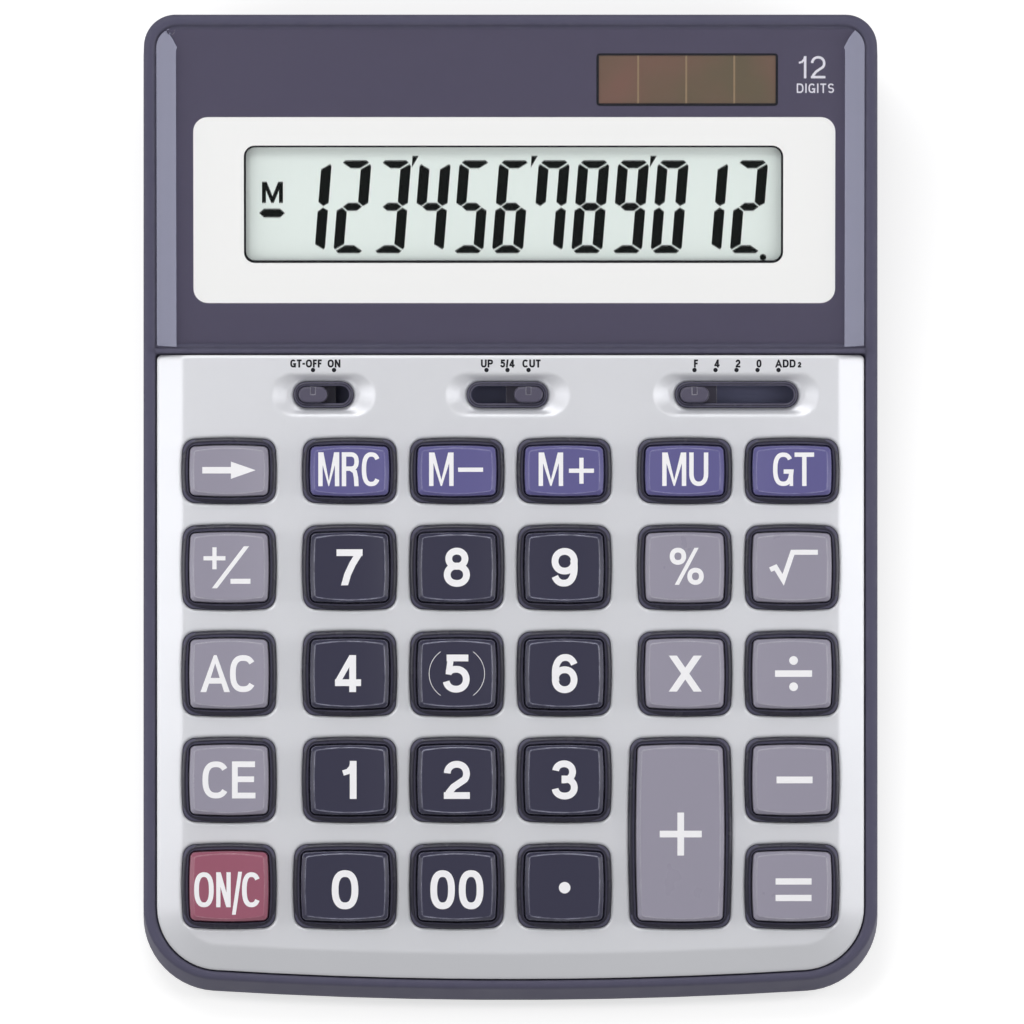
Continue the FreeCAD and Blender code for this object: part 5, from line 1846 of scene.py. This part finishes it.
    def legend(self, key: Key) -> None:
        """Prints a key's legend as a thin layer of ink on its top.

        Args:
            key: The key.
        """
        drawing = Shape()
        levels = (-self.root, self.ink)
        middle = (key.middle[0] + key.drift, key.middle[1])
        for sign in key.legend:
            drawing.absorb(sign.draw(middle, levels))
        if key.node == "key_five":
            drawing.absorb(self.locating_arcs(key, levels))
        half = key.size[0] / 2
        cut = key.middle[0] - half
        while cut < key.middle[0] + half:
            drawing.slice(Vector((cut, 0, 0)), Vector((1, 0, 0)))
            cut += self.facet
        drawing.bend(self.dish(key))
        given = Dressing(LEGEND, "mask_print", key.node + "_body")
        drawing.publish(key.node.replace("key_", "legend_"), DECK, given)

    def locating_arcs(self, key: Key, levels: Point) -> Shape:
        """Draws the two thin arcs beside the middle figure.

        Args:
            key: The key.
            levels: The lower and upper level.

        Returns:
            The arcs' shape.
        """
        box = self.arc_box
        corner = (key.middle[0] - box[0] / 2, key.middle[1] - box[1] / 2)
        pen = Pen(corner, box, self.arc_weight, levels)
        radii = (0.5, self.arc_reach)
        for side in (0, 180):
            ends = (side - self.arc_half, side + self.arc_half)
            pen.path(arc((0.5, 0.5), radii, *ends, 2.0))
        return pen.shape

    def collars(self, keys: Sequence[Key]) -> None:
        """Rounds the collars' top edges by one lip for each size of key.

        Args:
            keys: Every key.
        """
        names = {
            (self.width, self.height): "key_collar_lips",
            (self.width, self.low_height): "low_key_collar_lips",
            (self.width + self.wide_extra, self.height): "wide_key_collar_lip",
        }
        wall = (self.collar_width, self.collar_rise + self.collar_root)
        level = LAYOUT.plate_rise + self.collar_rise + LIP_COVER / 2 - wall[1] / 2
        corner = self.corner - self.collar_width / 2
        for size in sorted({key.size for key in keys}):
            places = [DECK.spot(*key.middle, level) for key in keys if key.size == size]
            middle_line = (size[0] - self.collar_width, size[1] - self.collar_width)
            name = names.get(size, "tall_key_collar_lip")
            round_rims(name, places, middle_line, corner, wall, self.side_bow)


@dataclass
class Switches:
    """The three slide switches: lips round their slots, their labels and stop marks."""

    knob_length: float = 5.8
    knob_width: float = 3.2
    knob_gap: float = 0.15
    slot_rim: float = 0.8
    rim_rise: float = 0.3
    rim_root: float = 0.5
    track_extra: float = 4.0
    track_width: float = 8.0
    track_corner: float = 1.5
    step: float = 4.2
    label_offset: float = 6.2
    mark_offset: float = 4.9
    label_height: float = 1.6
    label_weight: float = 0.36
    label_gap: float = 0.17
    small_label: float = 0.7
    mark_size: float = 0.88
    ink: float = 0.02

    def build(self) -> None:
        """Makes the looks of all three."""
        plan = {
            "grand_total_switch": (-37.4, 1), "rounding_switch": (-0.6, 2),
            "decimal_switch": (45.2, 4),
        }
        labels = Shape()
        stops = []
        for switch, (middle, steps) in plan.items():
            dress_node(switch + "_knob", KNOB)
            dress_node(switch + "_wiper", STEEL)
            self.lip(switch, middle, self.step * steps)
            start = middle - self.step * steps / 2
            stops += [start + self.step * i for i in range(steps + 1)]
        for text, place in (
            ("GT-OFF", -40.9), ("ON", -35.3), ("UP", -4.7), ("5/4", -0.6), ("CUT", 4.2),
            ("F", 37.1), ("4", 41.3), ("2", 45.5), ("0", 49.7), ("ADD", 55.0),
        ):
            self.label(labels, text, place)
        self.label(labels, "2", 57.8, self.small_label)
        self.tracks(plan)
        labels.publish("switch_labels", DECK, Dressing(LABEL, "mask_print"))
        self.marks(stops)

    def tracks(self, plan: dict[str, tuple[float, int]]) -> None:
        """Prints the carbon tracks on the board that the wipers slide over, in a colour lightened
        to paint light into the shade deep in the slots.

        Args:
            plan: The middle and the steps of each switch, by its name.
        """
        shape = Shape()
        for middle, steps in plan.values():
            length = self.knob_length + self.step * steps + self.track_extra
            place = (middle, LAYOUT.switch_row)
            ring = rounded_ring(length, self.track_width, self.track_corner, place, 0.0)
            foot = LAYOUT.board_top
            shape.prism([(point.x, point.y) for point in ring], foot, foot + self.ink)
        shape.publish("switch_tracks", DECK, Dressing(TRACK_WITH_PAINTED_LIGHT, "chip_resin"))

    def label(self, labels: Shape, text: str, place: float, share: float = 1.0) -> None:
        """Adds one word of black lettering behind the switches, on the others' base line.

        Args:
            labels: The shape that takes the word.
            text: The word.
            place: Its middle, as u.
            share: Its size as a share of the others'.
        """
        height = self.label_height * share
        level = LAYOUT.switch_row + self.label_offset - (self.label_height - height) / 2
        levels = (LAYOUT.plate_rise - self.ink, LAYOUT.plate_rise + self.ink)
        widths = [LETTER_WIDTHS[letter] * share for letter in text]
        weight = self.label_weight * share ** 0.5
        for sign in word(text, widths, height, self.label_gap, weight):
            labels.absorb(sign.draw((place, level), levels))

    def marks(self, stops: Sequence[float]) -> None:
        """Prints a dot at every stop of every switch.

        Args:
            stops: The stops of all switches, as u.
        """
        sign = Sign(".", self.mark_size, self.mark_size, weight=0.1)
        mark = sign.draw((0.0, 0.0), (-self.ink, self.ink))
        level = LAYOUT.switch_row + self.mark_offset
        places = [DECK.spot(stop, level, LAYOUT.plate_rise) for stop in stops]
        strew("switch_stop_marks", mark, places, Dressing(LABEL, "mask_print"))

    def lip(self, switch: str, middle: float, travel: float) -> None:
        """Rounds the rim of one switch's slot.

        Args:
            switch: The switch's name.
            middle: Its middle, as u.
            travel: How far its knob slides.
        """
        length = self.knob_length + travel + 2 * self.knob_gap + self.slot_rim
        width = self.knob_width + 2 * self.knob_gap + self.slot_rim
        wall = (self.slot_rim, self.rim_rise + self.rim_root)
        level = LAYOUT.plate_rise + self.rim_rise + LIP_COVER / 2 - wall[1] / 2
        places = [DECK.spot(middle, LAYOUT.switch_row, level)]
        round_rims(switch + "_slot_lip", places, (length, width), width / 2, wall)


def rounded_ring(
    width: float, length: float, corner: float, middle: Point, level: float, steps: int = 8,
) -> Ring:
    """Samples a rectangle with round corners at a level.

    Args:
        width: The rectangle's size along X.
        length: Its size along Y.
        corner: Its corner radius.
        middle: Its middle.
        level: Its level.
        steps: How many parts each corner gets.

    Returns:
        The points in order.
    """
    ring = []
    for i, (side_x, side_y) in enumerate(((1, 1), (-1, 1), (-1, -1), (1, -1))):
        centre_x = middle[0] + side_x * (width / 2 - corner)
        centre_y = middle[1] + side_y * (length / 2 - corner)
        for k in range(steps + 1):
            turn = math.pi / 2 * (i + k / steps)
            ring.append(Vector((
                centre_x + corner * math.cos(turn), centre_y + corner * math.sin(turn), level,
            )))
    return ring


class Segment(Enum):
    """The seven lines of a display digit, by their usual letters."""

    TOP = "a"
    RIGHT_TOP = "b"
    RIGHT_LOW = "c"
    BOTTOM = "d"
    LEFT_LOW = "e"
    LEFT_TOP = "f"
    MIDDLE = "g"


@dataclass
class Display:
    """The display: its window, the printed sheet behind it, and the glass with its digits."""

    window: Point = (107.8, 23.8)
    middle: Point = (0.6, 29.65)
    window_corner: float = 2.2
    edge: float = 0.42
    border_sides: tuple[float, float, float, float] = (10.1, 10.4, 8.12, 5.75)
    border_corner: float = 2.9
    sheet_drop: float = 0.04
    shadow_ring_depth: float = 0.6
    shadow_ring_cover: float = 0.02
    facet_rise: float = 0.8
    facet_turn: float = 0.17
    ink: float = 0.02
    digit: Point = (6.2, 18.85)
    first_digit: Point = (9.9, 1.55)
    pitch: float = 7.93
    line: float = 1.65
    upright: float = 2.05
    slit: float = 0.14
    lean: float = 4.6
    shown: str = "123456789012"
    tick: tuple[Point, ...] = ((-1.5, 0.9), (-0.25, 0.9), (-1.65, -1.5))
    memory_letter: Point = (5.7, 13.9)
    minus_mark: Point = (3.0, 9.7)
    minus_outline: tuple[Point, ...] = (
        (0.0, 0.0), (1.0, 0.9), (4.2, 0.9), (5.2, 0.0), (4.2, -0.9), (1.0, -0.9),
    )
    point: Point = (103.8, 0.75)
    point_size: float = 1.3

    def build(self) -> None:
        """Makes the looks of every part of it."""
        dress_node("display_lens", WINDOW)
        dress_node("lcd_panel", REFLECTOR)
        self.facets()
        self.sheet()
        self.border()
        self.paint_edge_shadow()
        self.figures()

    def facets(self) -> None:
        """Lays a pale, partly clear layer on the window's sloping sides, a painted reflection of
        the side lamps.
        """
        copy = merged("display_lens")
        others = [
            face for face in copy.faces
            if face.normal.z < self.facet_rise or abs(face.normal.x) < self.facet_turn
        ]
        bmesh.ops.delete(copy, geom=others, context="FACES")
        bmesh.ops.solidify(copy, geom=copy.faces[:], thickness=-self.ink * MM)
        bmesh.ops.recalc_face_normals(copy, faces=copy.faces)
        data = settle("window_side_facets", copy)
        publish("window_side_facets", data, Dressing(SIDE_SHEEN_INK, "lens_clear"))

    def sheet(self) -> None:
        """Lowers the printed sheet a little, so that its ink has room under the window."""
        copy = merged("display_mask")
        to_slope = DISPLAY.matrix.inverted()
        drop = DISPLAY.normal * self.sheet_drop * MM
        middle = LAYOUT.lens_bottom - LAYOUT.mask_thickness / 2
        for vertex in copy.verts:
            if (to_slope @ vertex.co).z > middle:
                vertex.co -= drop
        given = Dressing(FIELD, "mask_print", nodes=("display_mask",), crease=25.0)
        publish("window_print_field", settle("window_print_field", copy), given)

    def border(self) -> None:
        """Prints the white frame round the display's opening."""
        left, right, low, high = self.border_sides
        outer = (self.window[0] + left + right, self.window[1] + low + high)
        middle = (self.middle[0] + (right - left) / 2, self.middle[1] + (high - low) / 2)
        top = LAYOUT.lens_bottom - self.sheet_drop / 4
        foot = LAYOUT.lens_bottom - self.sheet_drop
        opening = (*self.window, self.window_corner, self.middle)
        shape = Shape()
        shape.frame((*outer, self.border_corner, middle), opening, foot, top, top)
        shape.publish("window_print_border", DISPLAY, Dressing(BORDER, "mask_print"))

    def paint_edge_shadow(self) -> None:
        """Paints the shadow along the window's edge as a thin near-black ring lining the cut edge
        of the printed sheet.
        """
        top = LAYOUT.lens_bottom - self.sheet_drop
        foot = LAYOUT.lens_bottom - LAYOUT.mask_thickness - self.shadow_ring_depth
        inner = [side - 2 * self.edge for side in self.window]
        outer = [side + self.shadow_ring_cover for side in self.window]
        shape = Shape()
        shape.frame(
            (*outer, self.window_corner, self.middle),
            (*inner, self.window_corner - self.edge, self.middle),
            foot, top, top - self.edge / 2,
        )
        shape.publish("display_gasket", DISPLAY, Dressing(WINDOW_EDGE_SHADOW, "mask_print"))

    def outline(self, which: Segment) -> list[Point]:
        """Gives one line of a digit as a pointed outline, upright, from the lower left.

        Args:
            which: The line.

        Returns:
            The outline's points in order.
        """
        (width, height), s = self.digit, self.slit
        t, v = self.line, self.upright
        half = height / 2
        if which is Segment.MIDDLE:
            return [
                (v / 2 + s, half), (v + s, half + t / 2), (width - v - s, half + t / 2),
                (width - v / 2 - s, half), (width - v - s, half - t / 2), (v + s, half - t / 2),
            ]
        if which in (Segment.TOP, Segment.BOTTOM):
            points = [
                (0.15 * v + s, height - 0.3 * t), (0.5 * v, height), (width - 0.5 * v, height),
                (width - 0.15 * v - s, height - 0.3 * t), (width - v - s, height - t),
                (v + s, height - t),
            ]
        else:
            points = [
                (0, half + 0.45 * t), (0, height - 0.7 * t), (0.15 * v, height - 0.3 * t - 2 * s),
                (v, height - t - 1.3 * s), (v, half + t / 2 + s), (0.5 * v, half + s),
            ]
        if which in (Segment.RIGHT_TOP, Segment.RIGHT_LOW):
            points = [(width - x, y) for x, y in points]
        if which in (Segment.BOTTOM, Segment.LEFT_LOW, Segment.RIGHT_LOW):
            points = [(x, height - y) for x, y in points]
        return points

    def figures(self) -> None:
        """Draws the lit lines on the glass."""
        lit = {
            "0": "abcdef", "1": "bc", "2": "abdeg", "3": "abcdg", "4": "bcfg", "5": "acdfg",
            "6": "acdefg", "7": "abcf", "8": "abcdefg", "9": "abcdfg",
        }
        low, high = LAYOUT.glass_top, LAYOUT.glass_top + self.ink
        left = self.middle[0] - self.window[0] / 2
        base = self.middle[1] - self.window[1] / 2
        slant = math.tan(math.radians(self.lean))
        shape = Shape()
        for i, figure in enumerate(self.shown):
            start = left + self.first_digit[0] + self.pitch * i
            foot = base + self.first_digit[1]
            for which in Segment:
                if which.value in lit[figure]:
                    outline = [
                        (start + x + y * slant, foot + y) for x, y in self.outline(which)
                    ]
                    shape.prism(outline, low, high)
            if i and i % 3 == 0:
                rise = self.digit[1]
                corner = start + rise * slant
                tick = [(corner + x, foot + (rise + y)) for x, y in self.tick]
                shape.prism(tick, low, high)
        shape.absorb(self.memory_marks(left, base, (low, high)))
        shape.publish("display_figures", DISPLAY, Dressing(SEGMENT, "lcd_glass"))

    def memory_marks(self, left: float, base: float, levels: Point) -> Shape:
        """Draws the memory letter, the minus sign and the decimal point.

        Args:
            left: The window's left edge.
            base: Its lower edge.
            levels: The lower and upper level.

        Returns:
            Their shape.
        """

        def on_glass(place: Point) -> Point:
            """Gives a place that is counted from the window's lower left corner."""
            return (left + place[0], base + place[1])

        marks = Sign("M", 4.2, 4.3, weight=0.8).draw(on_glass(self.memory_letter), levels)
        x, y = on_glass(self.minus_mark)
        marks.prism([(x + across, y + up) for across, up in self.minus_outline], *levels)
        point = Sign(".", self.point_size, self.point_size)
        marks.absorb(point.draw(on_glass(self.point), levels))
        return marks


@dataclass
class SolarCell:
    """The solar cell behind its window, with the printing that surrounds it."""

    size: Point = (36.3, 10.7)
    middle: Point = (35.3, 54.9)
    corner: float = 0.7
    outline: float = 0.5
    line_width: float = 0.4
    lines: tuple[float, ...] = (25.5, 35.1, 44.7)
    cell_drop: float = 0.15
    outline_rise: float = 0.1
    ink: float = 0.02
    note_middle: Point = (60.3, 57.4)
    note_height: float = 4.5
    note_levels: Point = (-0.04, -0.03)
    second_line: Point = (0.6, -2.0)
    small_letters: float = 1.9

    def build(self) -> None:
        """Makes the looks of the cell and of its printing."""
        dress_node("solar_cell", SOLAR)
        self.separators()
        self.surround()
        self.note()

    @property
    def face(self) -> float:
        """The cell's own front, as m."""
        return LAYOUT.lens_bottom - LAYOUT.mask_thickness - self.cell_drop

    def separators(self) -> None:
        """Draws the lines between the cell's fields on its glass."""
        shape = Shape()
        low, high = (self.middle[1] + side * self.size[1] / 2 for side in (-1, 1))
        for middle in self.lines:
            left, right = middle - self.line_width / 2, middle + self.line_width / 2
            outline = [(left, low), (right, low), (right, high), (left, high)]
            shape.prism(outline, self.face, self.face + self.ink)
        shape.publish("solar_cell_lines", DISPLAY, Dressing(SOLAR_LINE, "solar_glass"))

    def surround(self) -> None:
        """Prints the thin dark frame round the cell's opening."""
        top = self.face + self.cell_drop + self.outline_rise
        inner = [side - 2 * self.outline for side in self.size]
        shape = Shape()
        shape.frame(
            (*self.size, self.corner, self.middle),
            (*inner, self.corner - self.outline, self.middle), self.face, top, top,
        )
        shape.publish("solar_window_outline", DISPLAY, Dressing(LABEL, "mask_print"))

    def note(self) -> None:
        """Prints how many digits the display has."""
        levels = tuple(LAYOUT.lens_bottom + level for level in self.note_levels)
        x, y = self.note_middle
        low = (x + self.second_line[0], y - self.note_height / 2 + self.second_line[1])
        widths = (1.35, 0.3, 1.35, 0.3, 1.2, 1.2)
        shape = Shape()
        for sign in word("12", (1.4, 2.9), self.note_height, 0.9, 0.5):
            shape.absorb(sign.draw(self.note_middle, levels))
        for sign in word("DIGITS", widths, self.small_letters, 0.35, 0.28):
            shape.absorb(sign.draw(low, levels))
        shape.publish("digit_count_note", DISPLAY, Dressing(NOTE, "mask_print"))


@dataclass
class Case:
    """The two case halves, the face plate and what is seen from below."""

    foot_radius: float = 5.0
    foot_height: float = 2.3
    foot_places: tuple[Point, ...] = ((-57.0, -76.0), (57.0, -76.0), (-57.0, 70.0), (57.0, 70.0))
    foot_spin: float = 6.28
    foot_seed: int = 7

    def build(self) -> None:
        """Makes the looks of the case."""
        finishes = {
            "upper_case": CASE, "lower_case": BASE, "battery_door": BASE, "face_plate": PLATE,
            "case_screws": SCREW, "board_screws": SCREW,
        }
        for node, finish in finishes.items():
            dress_node(node, finish)
        self.feet()

    def feet(self) -> None:
        """Moulds the four feet with their grip rings, each turned by its own angle."""
        profile = [
            (0.6, 0.0), (1.3, 0.0), (1.5, 0.18), (1.8, 0.18), (2.0, 0.0), (2.6, 0.0),
            (2.8, 0.18), (3.1, 0.18), (3.3, 0.0), (self.foot_radius - 0.5, 0.0),
            (self.foot_radius - 0.15, 0.15), (self.foot_radius, 0.5),
            (self.foot_radius, self.foot_height),
        ]
        shape = Shape()
        shape.spin(profile)
        places = [TABLE.spot(*place) for place in self.foot_places]
        given = Dressing(FOOT, "foot_rubber", nodes=("rubber_feet",))
        upright = (0.0, 0.0, 0.0)
        strew(
            "rubber_foot_pads", shape, places, given, upright, self.foot_spin, self.foot_seed,
        )


@dataclass
class Inside:
    """What the case holds: the board, the keypad, the leads and the battery's parts."""

    sheet_top: float = -6.0
    dome_foot: float = 3.7
    dome_top: float = 2.5
    dome_height: float = 2.6
    dome_round: float = 0.3
    dome_drop: float = 0.4
    dome_swell: float = 0.25
    dome_root: float = 0.3
    dome_keep: float = 0.3
    disc_spin: float = 0.4
    disc_seed: int = 3
    spring_turns: float = 4.0
    spring_wide: float = 4.4
    spring_narrow: float = 2.6
    spring_length: float = 4.0
    spring_wire: float = 0.3

    def build(self, keys: Sequence[Key]) -> None:
        """Makes the looks of every internal piece.

        Args:
            keys: The keyboard's keys, for the domes under them.
        """
        plain = {
            "lcd_holder": HOLDER, "lcd_ribbon": RIBBON, "circuit_board": BOARD,
            "chip_blob": RESIN, "circuit_components": COMPONENT, "solar_wires": RED_LEAD,
            "battery_wires": GREY_LEAD, "aa_cell": CELL, "battery_contacts": STEEL,
        }
        for node, finish in plain.items():
            dress_node(node, finish)
        self.sheet()
        for key in keys:
            self.dome(key)
        self.contacts(keys)
        self.spring()

    def sheet(self) -> None:
        """Takes the keypad's flat sheet, without the domes, which are pieces of their own."""
        copy = merged("rubber_keypad")
        to_slope = DECK.matrix.inverted()
        above = [v for v in copy.verts if (to_slope @ v.co).z > self.sheet_top + 0.01]
        bmesh.ops.delete(copy, geom=above, context="VERTS")
        bmesh.ops.holes_fill(copy, edges=[edge for edge in copy.edges if edge.is_boundary])
        bmesh.ops.recalc_face_normals(copy, faces=copy.faces)
        given = Dressing(KEYPAD, "keypad_rubber", nodes=("rubber_keypad",), crease=25.0)
        publish("keypad_sheet", settle("keypad_sheet", copy), given)

    def dome(self, key: Key) -> None:
        """Moulds the rubber dome under one key.

        Args:
            key: The key.
        """
        wall, rim, reach = self.dome_foot - self.dome_top, self.dome_round, self.dome_height
        profile = [(0.5, reach), (self.dome_top - rim, reach), (self.dome_top, reach - rim)]
        reach -= self.dome_drop
        for share in (0.2, 0.4, 0.6, 0.8, 1.0):
            swell = math.sin(share * math.pi) * self.dome_swell
            profile.append((self.dome_top + wall * share + swell, reach * (1 - share)))
        profile.append((self.dome_foot, -self.dome_root))
        shape = Shape()
        shape.spin(profile)
        shape.mesh.transform(Matrix.Translation((*key.middle, self.sheet_top)))
        name = key.node.replace("key_", "dome_")
        piece = shape.publish(name, DECK, Dressing(KEYPAD, "keypad_rubber"))
        anchor = DECK.spot(*key.middle, self.sheet_top)
        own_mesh(piece)

    def contacts(self, keys: Sequence[Key]) -> None:
        """Lays the carbon contact discs on the board, one under each key.

        Args:
            keys: The keyboard's keys.
        """
        shape = Shape()
        shape.spin([(0.4, 0.03), (1.7, 0.03), (1.85, 0.01), (1.85, -0.01)])
        places = [DECK.spot(*key.middle, LAYOUT.board_top) for key in keys]
        strew(
            "board_contact_discs", shape, places, Dressing(RESIN, "chip_resin"),
            spin=self.disc_spin, seed=self.disc_seed,
        )

    def spring(self) -> None:
        """Winds the battery spring with a closed turn at each end."""
        low, high = (Vector(corner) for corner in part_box("battery_spring"))
        middle = (low + high) / 2
        start = Vector((low.x + self.spring_wire * MM, middle.y, middle.z))
        length = self.spring_length * MM
        coil = {"Wire": self.spring_wire * MM, "Turn": (0.0, math.pi / 2, 0.0)}
        coil["Material"] = STEEL.material()
        joined = bmesh.new()
        for turns, wide, narrow, rise, place in (
            (self.spring_turns, self.spring_wide, self.spring_narrow, length, start),
            (1.0, self.spring_wide, self.spring_wide, 0.0, start),
            (1.0, self.spring_narrow, self.spring_narrow, 0.0, start + Vector((length, 0, 0))),
        ):
            coil.update(Turns=turns, Wide=wide * MM, Narrow=narrow * MM, Length=rise)
            part = grow("battery_spring_turns", TREES.coil, [place], coil)
            joined.from_mesh(part)
            bpy.data.meshes.remove(part)
        given = Dressing(STEEL, "contact_metal", nodes=("battery_spring",))
        publish("battery_spring_coil", settle("battery_spring_coil", joined), given)


def main() -> None:
    """Builds the calculator's looks, piece by piece, and then the studio."""
    keyboard = Keyboard()
    for assembly in (Case(), keyboard, Switches(), Display(), SolarCell()):
        assembly.build()
    Inside().build(keyboard.keys())
    Studio().build()
    bpy.context.scene.view_settings.view_transform = "Standard"


if __name__ == "__main__":
    main()
